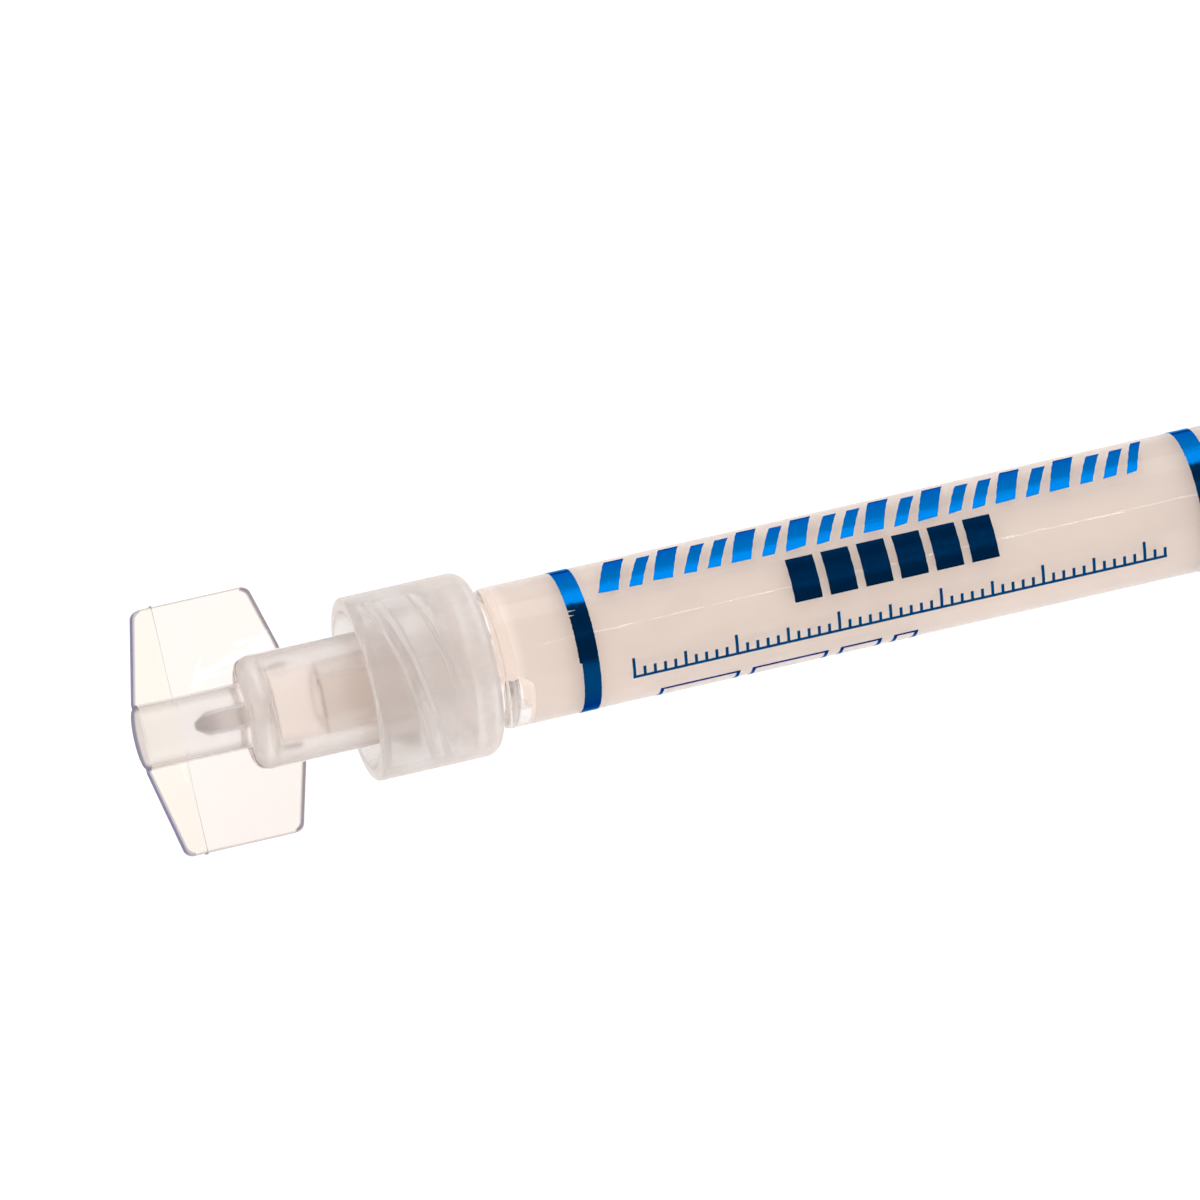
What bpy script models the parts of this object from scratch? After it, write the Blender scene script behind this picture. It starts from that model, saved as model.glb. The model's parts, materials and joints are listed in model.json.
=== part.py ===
"""A prefilled luer-lock gel syringe with a winged cap, lying along X.

The origin is the centre of the whole syringe's box, on its axis. +X runs towards the thumb pad, the cap is towards -X
and +Z is up. "Front" is the -X side and "rear" the +X side. Constants are millimetres, and MM turns them into metres.
Those ending in _X are on a scale whose zero lies 0.25 mm behind the lock collar's mouth, and place() turns them into
positions. Angles are degrees round the axis from +Y towards +Z.
"""

import math

import bmesh
import bpy
from mathutils import Matrix

MM = 0.001
SEGMENTS = 36  # round a turned shape
MERGE = 1e-7  # metres

# lock collar and luer tip
COLLAR_MOUTH_X = -0.25
COLLAR_REAR_X = 6.9
COLLAR_OD = 10.3
COLLAR_MOUTH_ID = 8.9
COLLAR_ROOT_ID = 8.3
COLLAR_MOUTH_CONE = 0.65
COLLAR_FLOOR_X = 5.5
COLLAR_REAR_ROUND = 0.95
LUER_TAPER = 0.06  # on diameter
LUER_TIP_X = -2.63
LUER_TIP_OD = 3.95
LUER_BORE = 2.1

# lock thread: two starts, right-handed
THREAD_LEAD = 5.0
THREAD_STARTS = 2
THREAD_SECTION = 0.60  # radius of the ridge's round section
THREAD_CENTRE = 4.18  # radius of the helix
THREAD_FROM_X = 1.05
THREAD_TO_X = 5.45
THREAD_OVERRUN = 0.4  # past THREAD_TO_X, into the collar's floor
GROOVE_ANGLE = 20.0  # where the cap's first lug sits

# helix points
HELIX_POINTS_PER_TURN = 22
HELIX_LEAST_POINTS = 7
FADE_SIZE = 0.35  # of the full section, at a faded end
FADE_POINTS = 3  # over which the section would grow by its full size

# tube
NECK_OD = 6.6
SHOULDER_X = 7.4
SHOULDER_ROUND = 0.65
TUBE_OD = 7.9
TUBE_ID = 6.1
BORE_FRONT_X = 7.6
BORE_CONE = 0.45
TUBE_END_X = 62.9
TUBE_END_CHAMFER = (0.3, 0.15)  # along X, on radius
BEAD_X = 60.9
BEAD_HALF_LENGTH = 0.45
BEAD_HEIGHT = 0.14

# finger flange
FLANGE_THICKNESS = 1.3
FLANGE_INSET = 0.15  # from the tube's rear end
FLANGE_HALF_LENGTH = 10.5  # along Y
FLANGE_HALF_WIDTH = 5.95  # along Z
FLANGE_EDGE = 0.2
FLANGE_ARC_STEPS = 12  # along each round end

# winged cap
CAP_MOUTH_X = 2.5
CAP_MOUTH_ID = 4.33
CAP_HUB_OD = 6.3
CAP_HUB_FRONT_X = -6.7
CAP_HUB_ROUND = 0.95
CAP_CAVITY_FRONT_X = -5.42
CAP_STEM_OD = 3.6
CAP_STEM_FRONT_X = -12.7
CORE_HOLE_R = 0.5
CORE_HOLE_END_X = -9.6
CORE_HOLE_END_RATIO = 0.72  # radius at the front end, to CORE_HOLE_R
LUG_OD = 7.8
LUG_SECTION = 0.5
LUG_ARC = 52.0  # degrees
LUG_X = CAP_MOUTH_X - 0.62  # middle of each lug
WING_SPAN = 6.9
WING_ANGLE = 45.0
WING_PART_X = -10.45  # parting line, where the wing is thickest
WING_TAPER_REAR_X = -4.0
WING_HALF_MID = 0.60
WING_HALF_FRONT = 0.47
WING_HALF_REAR = 0.44
WING_BLANK_HALF = 1.0  # half thickness before it is tapered

# one wing's outline: (x, distance from the axis, corner radius)
WING_CORNERS = [
    (-12.62, 1.15, 0),
    (-12.62, 1.95, 0),
    (-11.53, WING_SPAN, 0.55),
    (-5.06, WING_SPAN, 0.55),
    (-4.04, 3.2, 0),
    (-4.04, 2.6, 0),
    (-5.9, 2.6, 0),
    (-6.5, 1.15, 0),
]

# gel
GAP = 0.05
GEL_TIP_INSET = 0.15  # behind the luer tip's end
GEL_TIP_REAR_GAP = 0.1
GEL_REAR_CONE = 0.5

# stopper
STOPPER_X = 49.5
STOPPER_LENGTH = 6.0
STOPPER_REAR_X = STOPPER_X + STOPPER_LENGTH
STOPPER_NOSE_R = 1.0
SEAL_R = 3.02
WAIST_R = 2.72
SOCKET_MOUTH_R = 1.25
SOCKET_MOUTH_DEPTH = 0.9
SOCKET_R = 1.75

# plunger rod
KNOB_X = STOPPER_X + 2.75
KNOB_CONE = 0.7
KNOB_TIP_R = SOCKET_R - 0.75
KNOB_R = SOCKET_R - 0.14
KNOB_REAR_X = STOPPER_REAR_X - 1.1
KNOB_NECK_R = SOCKET_MOUTH_R - 0.12
ROD_DISC_R = 2.75
ROD_DISC_ROUND = 0.2
ROD_DISC_X = (STOPPER_REAR_X + 0.12, STOPPER_REAR_X + 1.1)
GUIDE_DISC_X = (59.3, 60.1)
ROD_RIB_R = 2.7
ROD_RIB_THICKNESS = 0.95
ROD_RIB_OVERLAP = 0.6  # in from the rod disc's end of the stopper, and short of PAD_FRONT_X
ROD_RIB_CHAMFER = 0.14
PAD_R = 5.8
PAD_FRONT_X = 110.5
PAD_REAR_X = 112.2
PAD_CONE = 1.2  # length of the cone in front of the pad
PAD_CONE_FRONT_R = ROD_RIB_R + 0.15
PAD_CONE_REAR_R = ROD_RIB_R + 0.9

ORIGIN_X = (CAP_STEM_FRONT_X + PAD_REAR_X) / 2

# foil stamped on the tube: (from x, to x, from angle, to angle)
FOIL_R, FOIL_THICKNESS = 3.965, 0.03
BAND_SEAM, BAND_SEAM_GAP = -43.0, 6.0
BAND_ARC = (BAND_SEAM + BAND_SEAM_GAP / 2, BAND_SEAM + 360.0 - BAND_SEAM_GAP / 2)
FOIL_AREAS = {
    "foil_band_front": (11.55, 12.64, *BAND_ARC),
    "foil_band_rear": (47.6, 48.75, *BAND_ARC),
    "foil_bar_wide": (14.0, 45.2, 63.0, 104.0),
    "foil_bar_short": (24.15, 36.05, 111.0, 147.0),
    "foil_scale": (14.7, 46.1, 162.0, 181.0),
    "foil_bar_under": (16.0, 31.2, 204.0, 234.0),
}

MATERIALS = {
    "barrel_plastic": dict(colour=(0.91, 0.87, 0.84), roughness=0.12, transmission=0.9),
    "cap_plastic": dict(colour=(0.95, 0.91, 0.89), roughness=0.16, transmission=0.9),
    "gel": dict(colour=(0.86, 0.80, 0.74), roughness=0.25, transmission=0.55, ior=1.42),
    "blue_foil": dict(colour=(0.0, 0.10, 0.42), roughness=0.25, metallic=1.0),
    "stopper_rubber": dict(colour=(0.18, 0.18, 0.19), roughness=0.6),
    "rod_plastic": dict(colour=(0.90, 0.89, 0.87), roughness=0.35, transmission=0.3),
}


# ---- scene and materials ----


def place(x):
    return (x - ORIGIN_X) * MM


def clear_scene():
    for obj in list(bpy.data.objects):
        bpy.data.objects.remove(obj, do_unlink=True)


def new_collection(name):
    group = bpy.data.collections.new(name)
    bpy.context.scene.collection.children.link(group)
    return group


def new_object(name, data, group):
    obj = bpy.data.objects.new(name, data)
    group.objects.link(obj)
    return obj


def new_material(name, colour, roughness, transmission=0.0, metallic=0.0, ior=1.49):
    made = bpy.data.materials.new(name)
    made.use_nodes = True
    inputs = made.node_tree.nodes["Principled BSDF"].inputs
    inputs["Base Color"].default_value = (*colour, 1.0)
    inputs["Roughness"].default_value = roughness
    inputs["Metallic"].default_value = metallic
    inputs["Transmission Weight"].default_value = transmission
    inputs["IOR"].default_value = ior
    return made


# ---- shape builders ----


def lay_along_x(obj, x):
    """Puts the object on the axis at x, with its own Z along +X."""
    obj.location = (place(x), 0.0, 0.0)
    obj.rotation_euler = (0.0, math.pi / 2, 0.0)


def round_corners(corners, per_turn):
    """The points of a polygon whose corners (x, y, radius) are turned into arcs."""
    points = []
    for i, (x, y, radius) in enumerate(corners):
        if radius <= 0:
            points.append((x, y))
            continue
        before_x, before_y, _ = corners[i - 1]
        after_x, after_y, _ = corners[(i + 1) % len(corners)]
        back = math.hypot(before_x - x, before_y - y)
        ahead = math.hypot(after_x - x, after_y - y)
        back_x, back_y = (before_x - x) / back, (before_y - y) / back
        ahead_x, ahead_y = (after_x - x) / ahead, (after_y - y) / ahead
        opening = math.acos(max(-1.0, min(1.0, back_x * ahead_x + back_y * ahead_y)))
        # an arc may use up just under half of each side
        reach = min(radius / math.tan(opening / 2), back * 0.49, ahead * 0.49)
        arc_r = reach * math.tan(opening / 2)
        # the arc's centre is on the line that halves the corner
        half_x, half_y = back_x + ahead_x, back_y + ahead_y
        size = math.hypot(half_x, half_y)
        centre_x = x + half_x / size * arc_r / math.sin(opening / 2)
        centre_y = y + half_y / size * arc_r / math.sin(opening / 2)
        start = math.atan2(y + back_y * reach - centre_y, x + back_x * reach - centre_x)
        sweep = math.atan2(y + ahead_y * reach - centre_y, x + ahead_x * reach - centre_x) - start
        sweep = (sweep + math.pi) % (2 * math.pi) - math.pi
        steps = max(1, round(abs(sweep) / (2 * math.pi) * per_turn))
        for k in range(steps + 1):
            angle = start + sweep * k / steps
            points.append((centre_x + arc_r * math.cos(angle), centre_y + arc_r * math.sin(angle)))
    return points


def add_screw(obj, name, angle, steps):
    """Sweeps the object's edges round its own Z."""
    screw = obj.modifiers.new(name, "SCREW")
    screw.axis = "Z"
    screw.angle = angle
    screw.steps = screw.render_steps = steps
    screw.use_smooth_shade = True
    return screw


def turned(name, corners, group, per_turn, look=None, at=0.0, closed=False):
    """Turns a profile of corners (x, radius from the axis, corner radius) round the syringe's axis.

    An open profile starts and ends on the axis. The object's origin is at x = at.
    """
    profile = round_corners(corners, per_turn)
    area = sum(
        r1 * x2 - r2 * x1
        for (x1, r1), (x2, r2) in zip(profile, profile[1:] + profile[:1])
    )
    # every profile runs the same way round, so that all turned faces point the same way
    if area > 0:
        profile = profile[::-1]
    points = [(r * MM, 0.0, (x - at) * MM) for x, r in profile]
    edges = [(i, i + 1) for i in range(len(points) - 1)]
    if closed:
        edges.append((len(points) - 1, 0))
    mesh = bpy.data.meshes.new(name)
    mesh.from_pydata(points, edges, [])
    if look:
        mesh.materials.append(look)
    obj = new_object(name, mesh, group)
    lay_along_x(obj, at)
    screw = add_screw(obj, "turn", 2 * math.pi, SEGMENTS)
    screw.use_merge_vertices = True
    screw.merge_threshold = MERGE
    return obj


def as_mesh(obj, group):
    """Replaces a curve with a mesh object of its evaluated shape, with its caps welded."""
    bpy.context.view_layer.update()
    graph = bpy.context.evaluated_depsgraph_get()
    mesh = bpy.data.meshes.new_from_object(obj.evaluated_get(graph))
    shape = bmesh.new()
    shape.from_mesh(mesh)
    bmesh.ops.remove_doubles(shape, verts=shape.verts, dist=MERGE)
    bmesh.ops.recalc_face_normals(shape, faces=shape.faces)
    shape.to_mesh(mesh)
    shape.free()
    # the curve still holds the name here, so the mesh object's name ends in .001
    made = new_object(obj.name, mesh, group)
    made.matrix_world = obj.matrix_world.copy()
    bpy.data.objects.remove(obj, do_unlink=True)
    return made


def helix(name, radius, section, start_x, start_angle, length, group, fades_out):
    """A right-handed ridge of round section that fades in at its front and may fade out at its rear."""
    curve = bpy.data.curves.new(name, "CURVE")
    curve.dimensions = "3D"
    curve.bevel_depth = section * MM
    curve.bevel_resolution = 1
    curve.use_fill_caps = True
    turns = length / THREAD_LEAD
    count = max(HELIX_LEAST_POINTS, round(turns * HELIX_POINTS_PER_TURN) + 1)
    last = count - 1
    spline = curve.splines.new("POLY")
    spline.points.add(last)
    for i, point in enumerate(spline.points):
        part = i / last
        angle = math.radians(start_angle) + 2 * math.pi * turns * part
        x = start_x + length * part
        y, z = radius * math.cos(angle), radius * math.sin(angle)
        point.co = (x * MM, y * MM, z * MM, 1.0)
        point.radius = min(1.0, FADE_SIZE + i / FADE_POINTS)
        if fades_out:
            point.radius = min(point.radius, FADE_SIZE + (last - i) / FADE_POINTS)
    obj = new_object(name, curve, group)
    obj.location = (place(0.0), 0.0, 0.0)
    return as_mesh(obj, group)


def flat_plate(name, outlines, half_thickness, edge, group):
    """A curve: a flat outline, with any further outlines as holes, extruded both ways with rounded edges."""
    curve = bpy.data.curves.new(name, "CURVE")
    curve.dimensions = "2D"
    curve.fill_mode = "BOTH"
    curve.extrude = (half_thickness - edge) * MM
    curve.bevel_depth = edge * MM
    curve.bevel_resolution = 1
    curve.offset = -edge * MM
    for outline in outlines:
        spline = curve.splines.new("POLY")
        spline.points.add(len(outline) - 1)
        for point, (x, y) in zip(spline.points, outline):
            point.co = (x * MM, y * MM, 0.0, 1.0)
        spline.use_cyclic_u = True
    return new_object(name, curve, group)


def join_shapes(obj, others):
    for other in others:
        other.hide_render = True
        other.display_type = "WIRE"
        step = obj.modifiers.new(other.name, "BOOLEAN")
        step.operation = "UNION"
        step.object = other
        step.solver = "EXACT"


# ---- barrel ----


def luer_r(x):
    return LUER_TIP_OD / 2 + (x - LUER_TIP_X) * LUER_TAPER / 2


def make_lock_ridges(helpers):
    """The thread's ridges, half a pitch away from the groove that holds the cap's lugs."""
    pitch = THREAD_LEAD / THREAD_STARTS
    first_angle = GROOVE_ANGLE + 360.0 * (THREAD_FROM_X - LUG_X - pitch / 2) / THREAD_LEAD
    return [
        helix(
            f"lock_ridge_{k + 1}",
            radius=THREAD_CENTRE,
            section=THREAD_SECTION,
            start_x=THREAD_FROM_X,
            start_angle=first_angle + 360.0 * k / THREAD_STARTS,
            length=THREAD_TO_X - THREAD_FROM_X + THREAD_OVERRUN,
            group=helpers,
            fades_out=False,
        )
        for k in range(THREAD_STARTS)
    ]


def make_flange(helpers):
    """A plate with two round ends and two straight sides, whose hole lies midway in the tube's wall."""
    half_arc = math.asin(FLANGE_HALF_WIDTH / FLANGE_HALF_LENGTH)
    arc = [-half_arc + 2 * half_arc * k / FLANGE_ARC_STEPS for k in range(FLANGE_ARC_STEPS + 1)]
    round_end = [(FLANGE_HALF_LENGTH * math.sin(a), FLANGE_HALF_LENGTH * math.cos(a)) for a in arc]
    outline = round_end + [(-x, -y) for x, y in round_end]
    hole_r = (TUBE_ID / 2 + TUBE_OD / 2) / 2
    turn = [2 * math.pi * k / SEGMENTS for k in range(SEGMENTS)]
    hole = [(hole_r * math.cos(a), hole_r * math.sin(a)) for a in turn]
    plate = flat_plate("finger_flange", [outline, hole], FLANGE_THICKNESS / 2, FLANGE_EDGE, helpers)
    lay_along_x(plate, TUBE_END_X - FLANGE_THICKNESS / 2 - FLANGE_INSET)
    return as_mesh(plate, helpers)


def make_barrel(parts, helpers, look):
    root_r, outer_r, neck_r = COLLAR_ROOT_ID / 2, COLLAR_OD / 2, NECK_OD / 2
    bore_r, tube_r, tip_r = TUBE_ID / 2, TUBE_OD / 2, LUER_BORE / 2
    chamfer_x, chamfer_r = TUBE_END_CHAMFER
    corners = [
        # luer tip and collar
        (LUER_TIP_X, tip_r, 0.12),
        (LUER_TIP_X, luer_r(LUER_TIP_X), 0.22),
        (COLLAR_FLOOR_X, luer_r(COLLAR_FLOOR_X), 0.3),
        (COLLAR_FLOOR_X, root_r, 0.35),
        (COLLAR_MOUTH_X + COLLAR_MOUTH_CONE, root_r, 0),
        (COLLAR_MOUTH_X, COLLAR_MOUTH_ID / 2, 0.1),
        (COLLAR_MOUTH_X, outer_r, 0.22),
        (COLLAR_REAR_X, outer_r, COLLAR_REAR_ROUND),
        # neck, and the tube's outside
        (COLLAR_REAR_X, neck_r, 0.15),
        (SHOULDER_X, neck_r, 0.12),
        (SHOULDER_X, tube_r, SHOULDER_ROUND),
        (TUBE_END_X, tube_r, 0.12),
        # bore, from the rear forwards
        (TUBE_END_X, bore_r + chamfer_r, 0),
        (TUBE_END_X - chamfer_x, bore_r, 0),
        (BEAD_X + BEAD_HALF_LENGTH, bore_r, 0),
        (BEAD_X, bore_r - BEAD_HEIGHT, 0),
        (BEAD_X - BEAD_HALF_LENGTH, bore_r, 0),
        (BORE_FRONT_X + BORE_CONE, bore_r, 0.3),
        (BORE_FRONT_X, tip_r, 0.2),
    ]
    barrel = turned("barrel", corners, parts, per_turn=10, look=look, closed=True)
    join_shapes(barrel, make_lock_ridges(helpers) + [make_flange(helpers)])


# ---- cap ----


def make_lug(name, turn, helpers):
    length = LUG_ARC / 360.0 * THREAD_LEAD
    return helix(
        name,
        radius=LUG_OD / 2 - LUG_SECTION,
        section=LUG_SECTION,
        start_x=LUG_X - length / 2,
        start_angle=GROOVE_ANGLE - LUG_ARC / 2 + turn,
        length=length,
        group=helpers,
        fades_out=True,
    )


def make_wing(name, turn, helpers):
    """A flat wing whose thickness falls away from the parting line both ways."""
    outline = round_corners(WING_CORNERS, per_turn=16)
    wing = as_mesh(flat_plate(name, [outline], WING_BLANK_HALF, 0.0, helpers), helpers)
    shape = bmesh.new()
    shape.from_mesh(wing.data)
    # a cut across the wing gives the parting line its own vertices
    bmesh.ops.bisect_plane(
        shape,
        geom=shape.verts[:] + shape.edges[:] + shape.faces[:],
        dist=1e-8,
        plane_co=(WING_PART_X * MM, 0.0, 0.0),
        plane_no=(1.0, 0.0, 0.0),
    )
    for vert in shape.verts:
        x = vert.co.x / MM
        if x < WING_PART_X:
            end_x, end_half = CAP_STEM_FRONT_X, WING_HALF_FRONT
        else:
            end_x, end_half = WING_TAPER_REAR_X, WING_HALF_REAR
        part = (x - WING_PART_X) / (end_x - WING_PART_X)
        half = WING_HALF_MID + (end_half - WING_HALF_MID) * part
        vert.co.z = math.copysign(half * MM, vert.co.z)
    shape.to_mesh(wing.data)
    shape.free()
    rotation = Matrix.Rotation(math.radians(turn), 4, "X")
    wing.matrix_world = Matrix.Translation((place(0.0), 0.0, 0.0)) @ rotation
    return wing


def make_cap(parts, helpers, look):
    hub_r, stem_r, mouth_r = CAP_HUB_OD / 2, CAP_STEM_OD / 2, CAP_MOUTH_ID / 2
    floor_r = mouth_r - (CAP_MOUTH_X - CAP_CAVITY_FRONT_X) * LUER_TAPER / 2
    corners = [
        (CAP_STEM_FRONT_X, 0.0, 0),
        (CAP_STEM_FRONT_X, stem_r, 0.3),
        (CAP_HUB_FRONT_X, stem_r, 0.3),
        (CAP_HUB_FRONT_X, hub_r, CAP_HUB_ROUND),
        (CAP_MOUTH_X, hub_r, 0.15),
        (CAP_MOUTH_X, mouth_r, 0.12),
        (CAP_CAVITY_FRONT_X, floor_r, 0.2),
        (CAP_CAVITY_FRONT_X, CORE_HOLE_R, 0.15),
        (CORE_HOLE_END_X, CORE_HOLE_R * CORE_HOLE_END_RATIO, 0.45),
        (CORE_HOLE_END_X, 0.0, 0),
    ]
    cap = turned("luer_cap", corners, parts, per_turn=10, look=look)
    lugs = [make_lug(f"cap_lug_{k + 1}", 180.0 * k, helpers) for k in range(2)]
    wings = [make_wing(f"cap_wing_{k + 1}", WING_ANGLE + 180.0 * k, helpers) for k in range(2)]
    join_shapes(cap, lugs + wings)
    return cap


# ---- contents ----


def make_gel(parts, look):
    """The column in the tube, hollowed at its rear for the stopper's nose, and the thread of gel in the luer tip."""
    bore_r, tip_r = TUBE_ID / 2 - GAP, LUER_BORE / 2 - GAP
    front, rear = BORE_FRONT_X + GAP, STOPPER_X - GAP
    column = [
        (front, 0.0, 0),
        (front, tip_r, 0),
        (BORE_FRONT_X + BORE_CONE + GAP, bore_r, 0.3),
        (rear + GEL_REAR_CONE, bore_r, 0),
        (rear, STOPPER_NOSE_R, 0),
        (rear, 0.0, 0),
    ]
    turned("gel_column", column, parts, per_turn=8, look=look)
    tip_front, tip_rear = LUER_TIP_X + GEL_TIP_INSET, BORE_FRONT_X - GEL_TIP_REAR_GAP
    plug = [
        (tip_front, 0.0, 0),
        (tip_front, tip_r, 0),
        (tip_rear, tip_r, 0),
        (tip_rear, 0.0, 0),
    ]
    turned("gel_in_tip", plug, parts, per_turn=8, look=look)


def make_stopper(parts, look):
    """Three seal ribs, a conical nose, and an undercut socket for the rod's knob."""
    front, rear = STOPPER_X, STOPPER_REAR_X
    corners = [
        (front, 0.0, 0),
        (front, STOPPER_NOSE_R, 0),
        (front + 0.45, SEAL_R - 0.12, 0),
        # front, middle and rear ribs with a waist between each
        (front + 0.62, SEAL_R, 0.05),
        (front + 1.15, SEAL_R, 0.1),
        (front + 1.45, WAIST_R, 0.1),
        (front + 2.35, WAIST_R, 0.1),
        (front + 2.65, SEAL_R, 0.1),
        (front + 3.1, SEAL_R, 0.1),
        (front + 3.4, WAIST_R, 0.1),
        (front + 4.45, WAIST_R, 0.1),
        (front + 4.75, SEAL_R, 0.1),
        (rear, SEAL_R, 0.15),
        # socket, from its mouth forwards
        (rear, SOCKET_MOUTH_R, 0.1),
        (rear - SOCKET_MOUTH_DEPTH, SOCKET_MOUTH_R, 0.1),
        (rear - SOCKET_MOUTH_DEPTH - 0.05, SOCKET_R, 0.1),
        (front + 2.6, SOCKET_R, 0.5),
        (front + 2.45, 0.0, 0),
    ]
    return turned("stopper", corners, parts, per_turn=6, look=look, at=front)


# ---- plunger rod ----


def disc_rim(front, rear):
    return [(front, ROD_DISC_R, ROD_DISC_ROUND), (rear, ROD_DISC_R, ROD_DISC_ROUND), (rear, 0.0, 0)]


def make_guide_disc(helpers):
    corners = [(GUIDE_DISC_X[0], 0.0, 0), *disc_rim(*GUIDE_DISC_X)]
    return turned("guide_disc", corners, helpers, per_turn=4)


def make_thumb_pad(helpers):
    corners = [
        (PAD_FRONT_X - PAD_CONE, 0.0, 0),
        (PAD_FRONT_X - PAD_CONE, PAD_CONE_FRONT_R, 0),
        (PAD_FRONT_X, PAD_CONE_REAR_R, 0.5),
        (PAD_FRONT_X, PAD_R, 0.45),
        (PAD_REAR_X, PAD_R, 0.55),
        (PAD_REAR_X, 0.0, 0),
    ]
    return turned("thumb_pad", corners, helpers, per_turn=10)


def make_rod_rib(name, turn, helpers):
    """A long flat bar through the axis; two of them make the rod's cross section."""
    start = STOPPER_REAR_X + ROD_RIB_OVERLAP
    length = PAD_FRONT_X - ROD_RIB_OVERLAP - start
    size = (length * MM, 2 * ROD_RIB_R * MM, ROD_RIB_THICKNESS * MM, 1.0)
    shape = bmesh.new()
    bmesh.ops.create_cube(shape, size=1.0, matrix=Matrix.Diagonal(size))
    mesh = bpy.data.meshes.new(name)
    shape.to_mesh(mesh)
    shape.free()
    rib = new_object(name, mesh, helpers)
    rib.location = (place(start + length / 2), 0.0, 0.0)
    rib.rotation_euler = (turn, 0.0, 0.0)
    edge = rib.modifiers.new("edges", "BEVEL")
    edge.width = ROD_RIB_CHAMFER * MM
    edge.segments = 1
    return rib


def make_plunger(parts, helpers, look):
    """The knob in the stopper's socket and the disc behind it, joined to the ribs, guide disc and thumb pad."""
    corners = [
        (KNOB_X, 0.0, 0),
        (KNOB_X, KNOB_TIP_R, 0),
        (KNOB_X + KNOB_CONE, KNOB_R, 0.2),
        (KNOB_REAR_X, KNOB_R, 0.15),
        (KNOB_REAR_X, KNOB_NECK_R, 0),
        (ROD_DISC_X[0], KNOB_NECK_R, 0),
        *disc_rim(*ROD_DISC_X),
    ]
    rod = turned("plunger_rod", corners, parts, per_turn=8, look=look, at=STOPPER_REAR_X)
    guide = make_guide_disc(helpers)
    pad = make_thumb_pad(helpers)
    ribs = [make_rod_rib(f"rod_rib_{k + 1}", math.pi / 2 * k, helpers) for k in range(2)]
    join_shapes(rod, ribs + [guide, pad])
    return rod


# ---- foil ----


def make_foil(name, start, end, angle_from, angle_to, group, look):
    """A thin foil area that follows the tube's surface."""
    # laid along X, the object's own X points down, so +Y is a quarter turn on
    first = math.radians(angle_from + 90.0)
    across = (FOIL_R * math.cos(first) * MM, FOIL_R * math.sin(first) * MM)
    half = (end - start) / 2 * MM
    mesh = bpy.data.meshes.new(name)
    mesh.from_pydata([(*across, half), (*across, -half)], [(0, 1)], [])
    mesh.materials.append(look)
    obj = new_object(name, mesh, group)
    lay_along_x(obj, (start + end) / 2)
    arc = angle_to - angle_from
    add_screw(obj, "wrap", math.radians(arc), max(3, round(arc / 360 * SEGMENTS)))
    skin = obj.modifiers.new("foil", "SOLIDIFY")
    skin.thickness = FOIL_THICKNESS * MM
    skin.offset = 1.0


def add_axis(name, moved, group):
    """An empty at the origin that carries the pieces that move together."""
    axis = new_object(name, None, group)
    axis.empty_display_size = 0.004
    for obj in moved:
        obj.parent = axis


def main():
    clear_scene()
    parts = new_collection("gel_syringe")
    helpers = new_collection("cutters_and_joined_shapes")
    helpers.hide_render = True
    looks = {name: new_material(name, **settings) for name, settings in MATERIALS.items()}

    make_barrel(parts, helpers, looks["barrel_plastic"])
    cap = make_cap(parts, helpers, looks["cap_plastic"])
    make_gel(parts, looks["gel"])
    stopper = make_stopper(parts, looks["stopper_rubber"])
    rod = make_plunger(parts, helpers, looks["rod_plastic"])
    for name, area in FOIL_AREAS.items():
        make_foil(name, *area, parts, looks["blue_foil"])

    add_axis("cap_axis", [cap], parts)
    add_axis("plunger_axis", [stopper, rod], parts)


main()
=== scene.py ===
"""The looks of a prefilled luer-lock gel syringe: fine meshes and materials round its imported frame.

The syringe's axis is X, with the capped tip at low x and the push rod's thumb disc at high x.
Lengths are mm, x is measured from the mouth of the lock collar, and angles are degrees round
the axis from +Y towards +Z. The camera stands on the -Y, +Z side.
"""

import json
import math
from contextlib import contextmanager

import bmesh
import bpy
import numpy as np
from mathutils import Matrix, Vector

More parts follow.
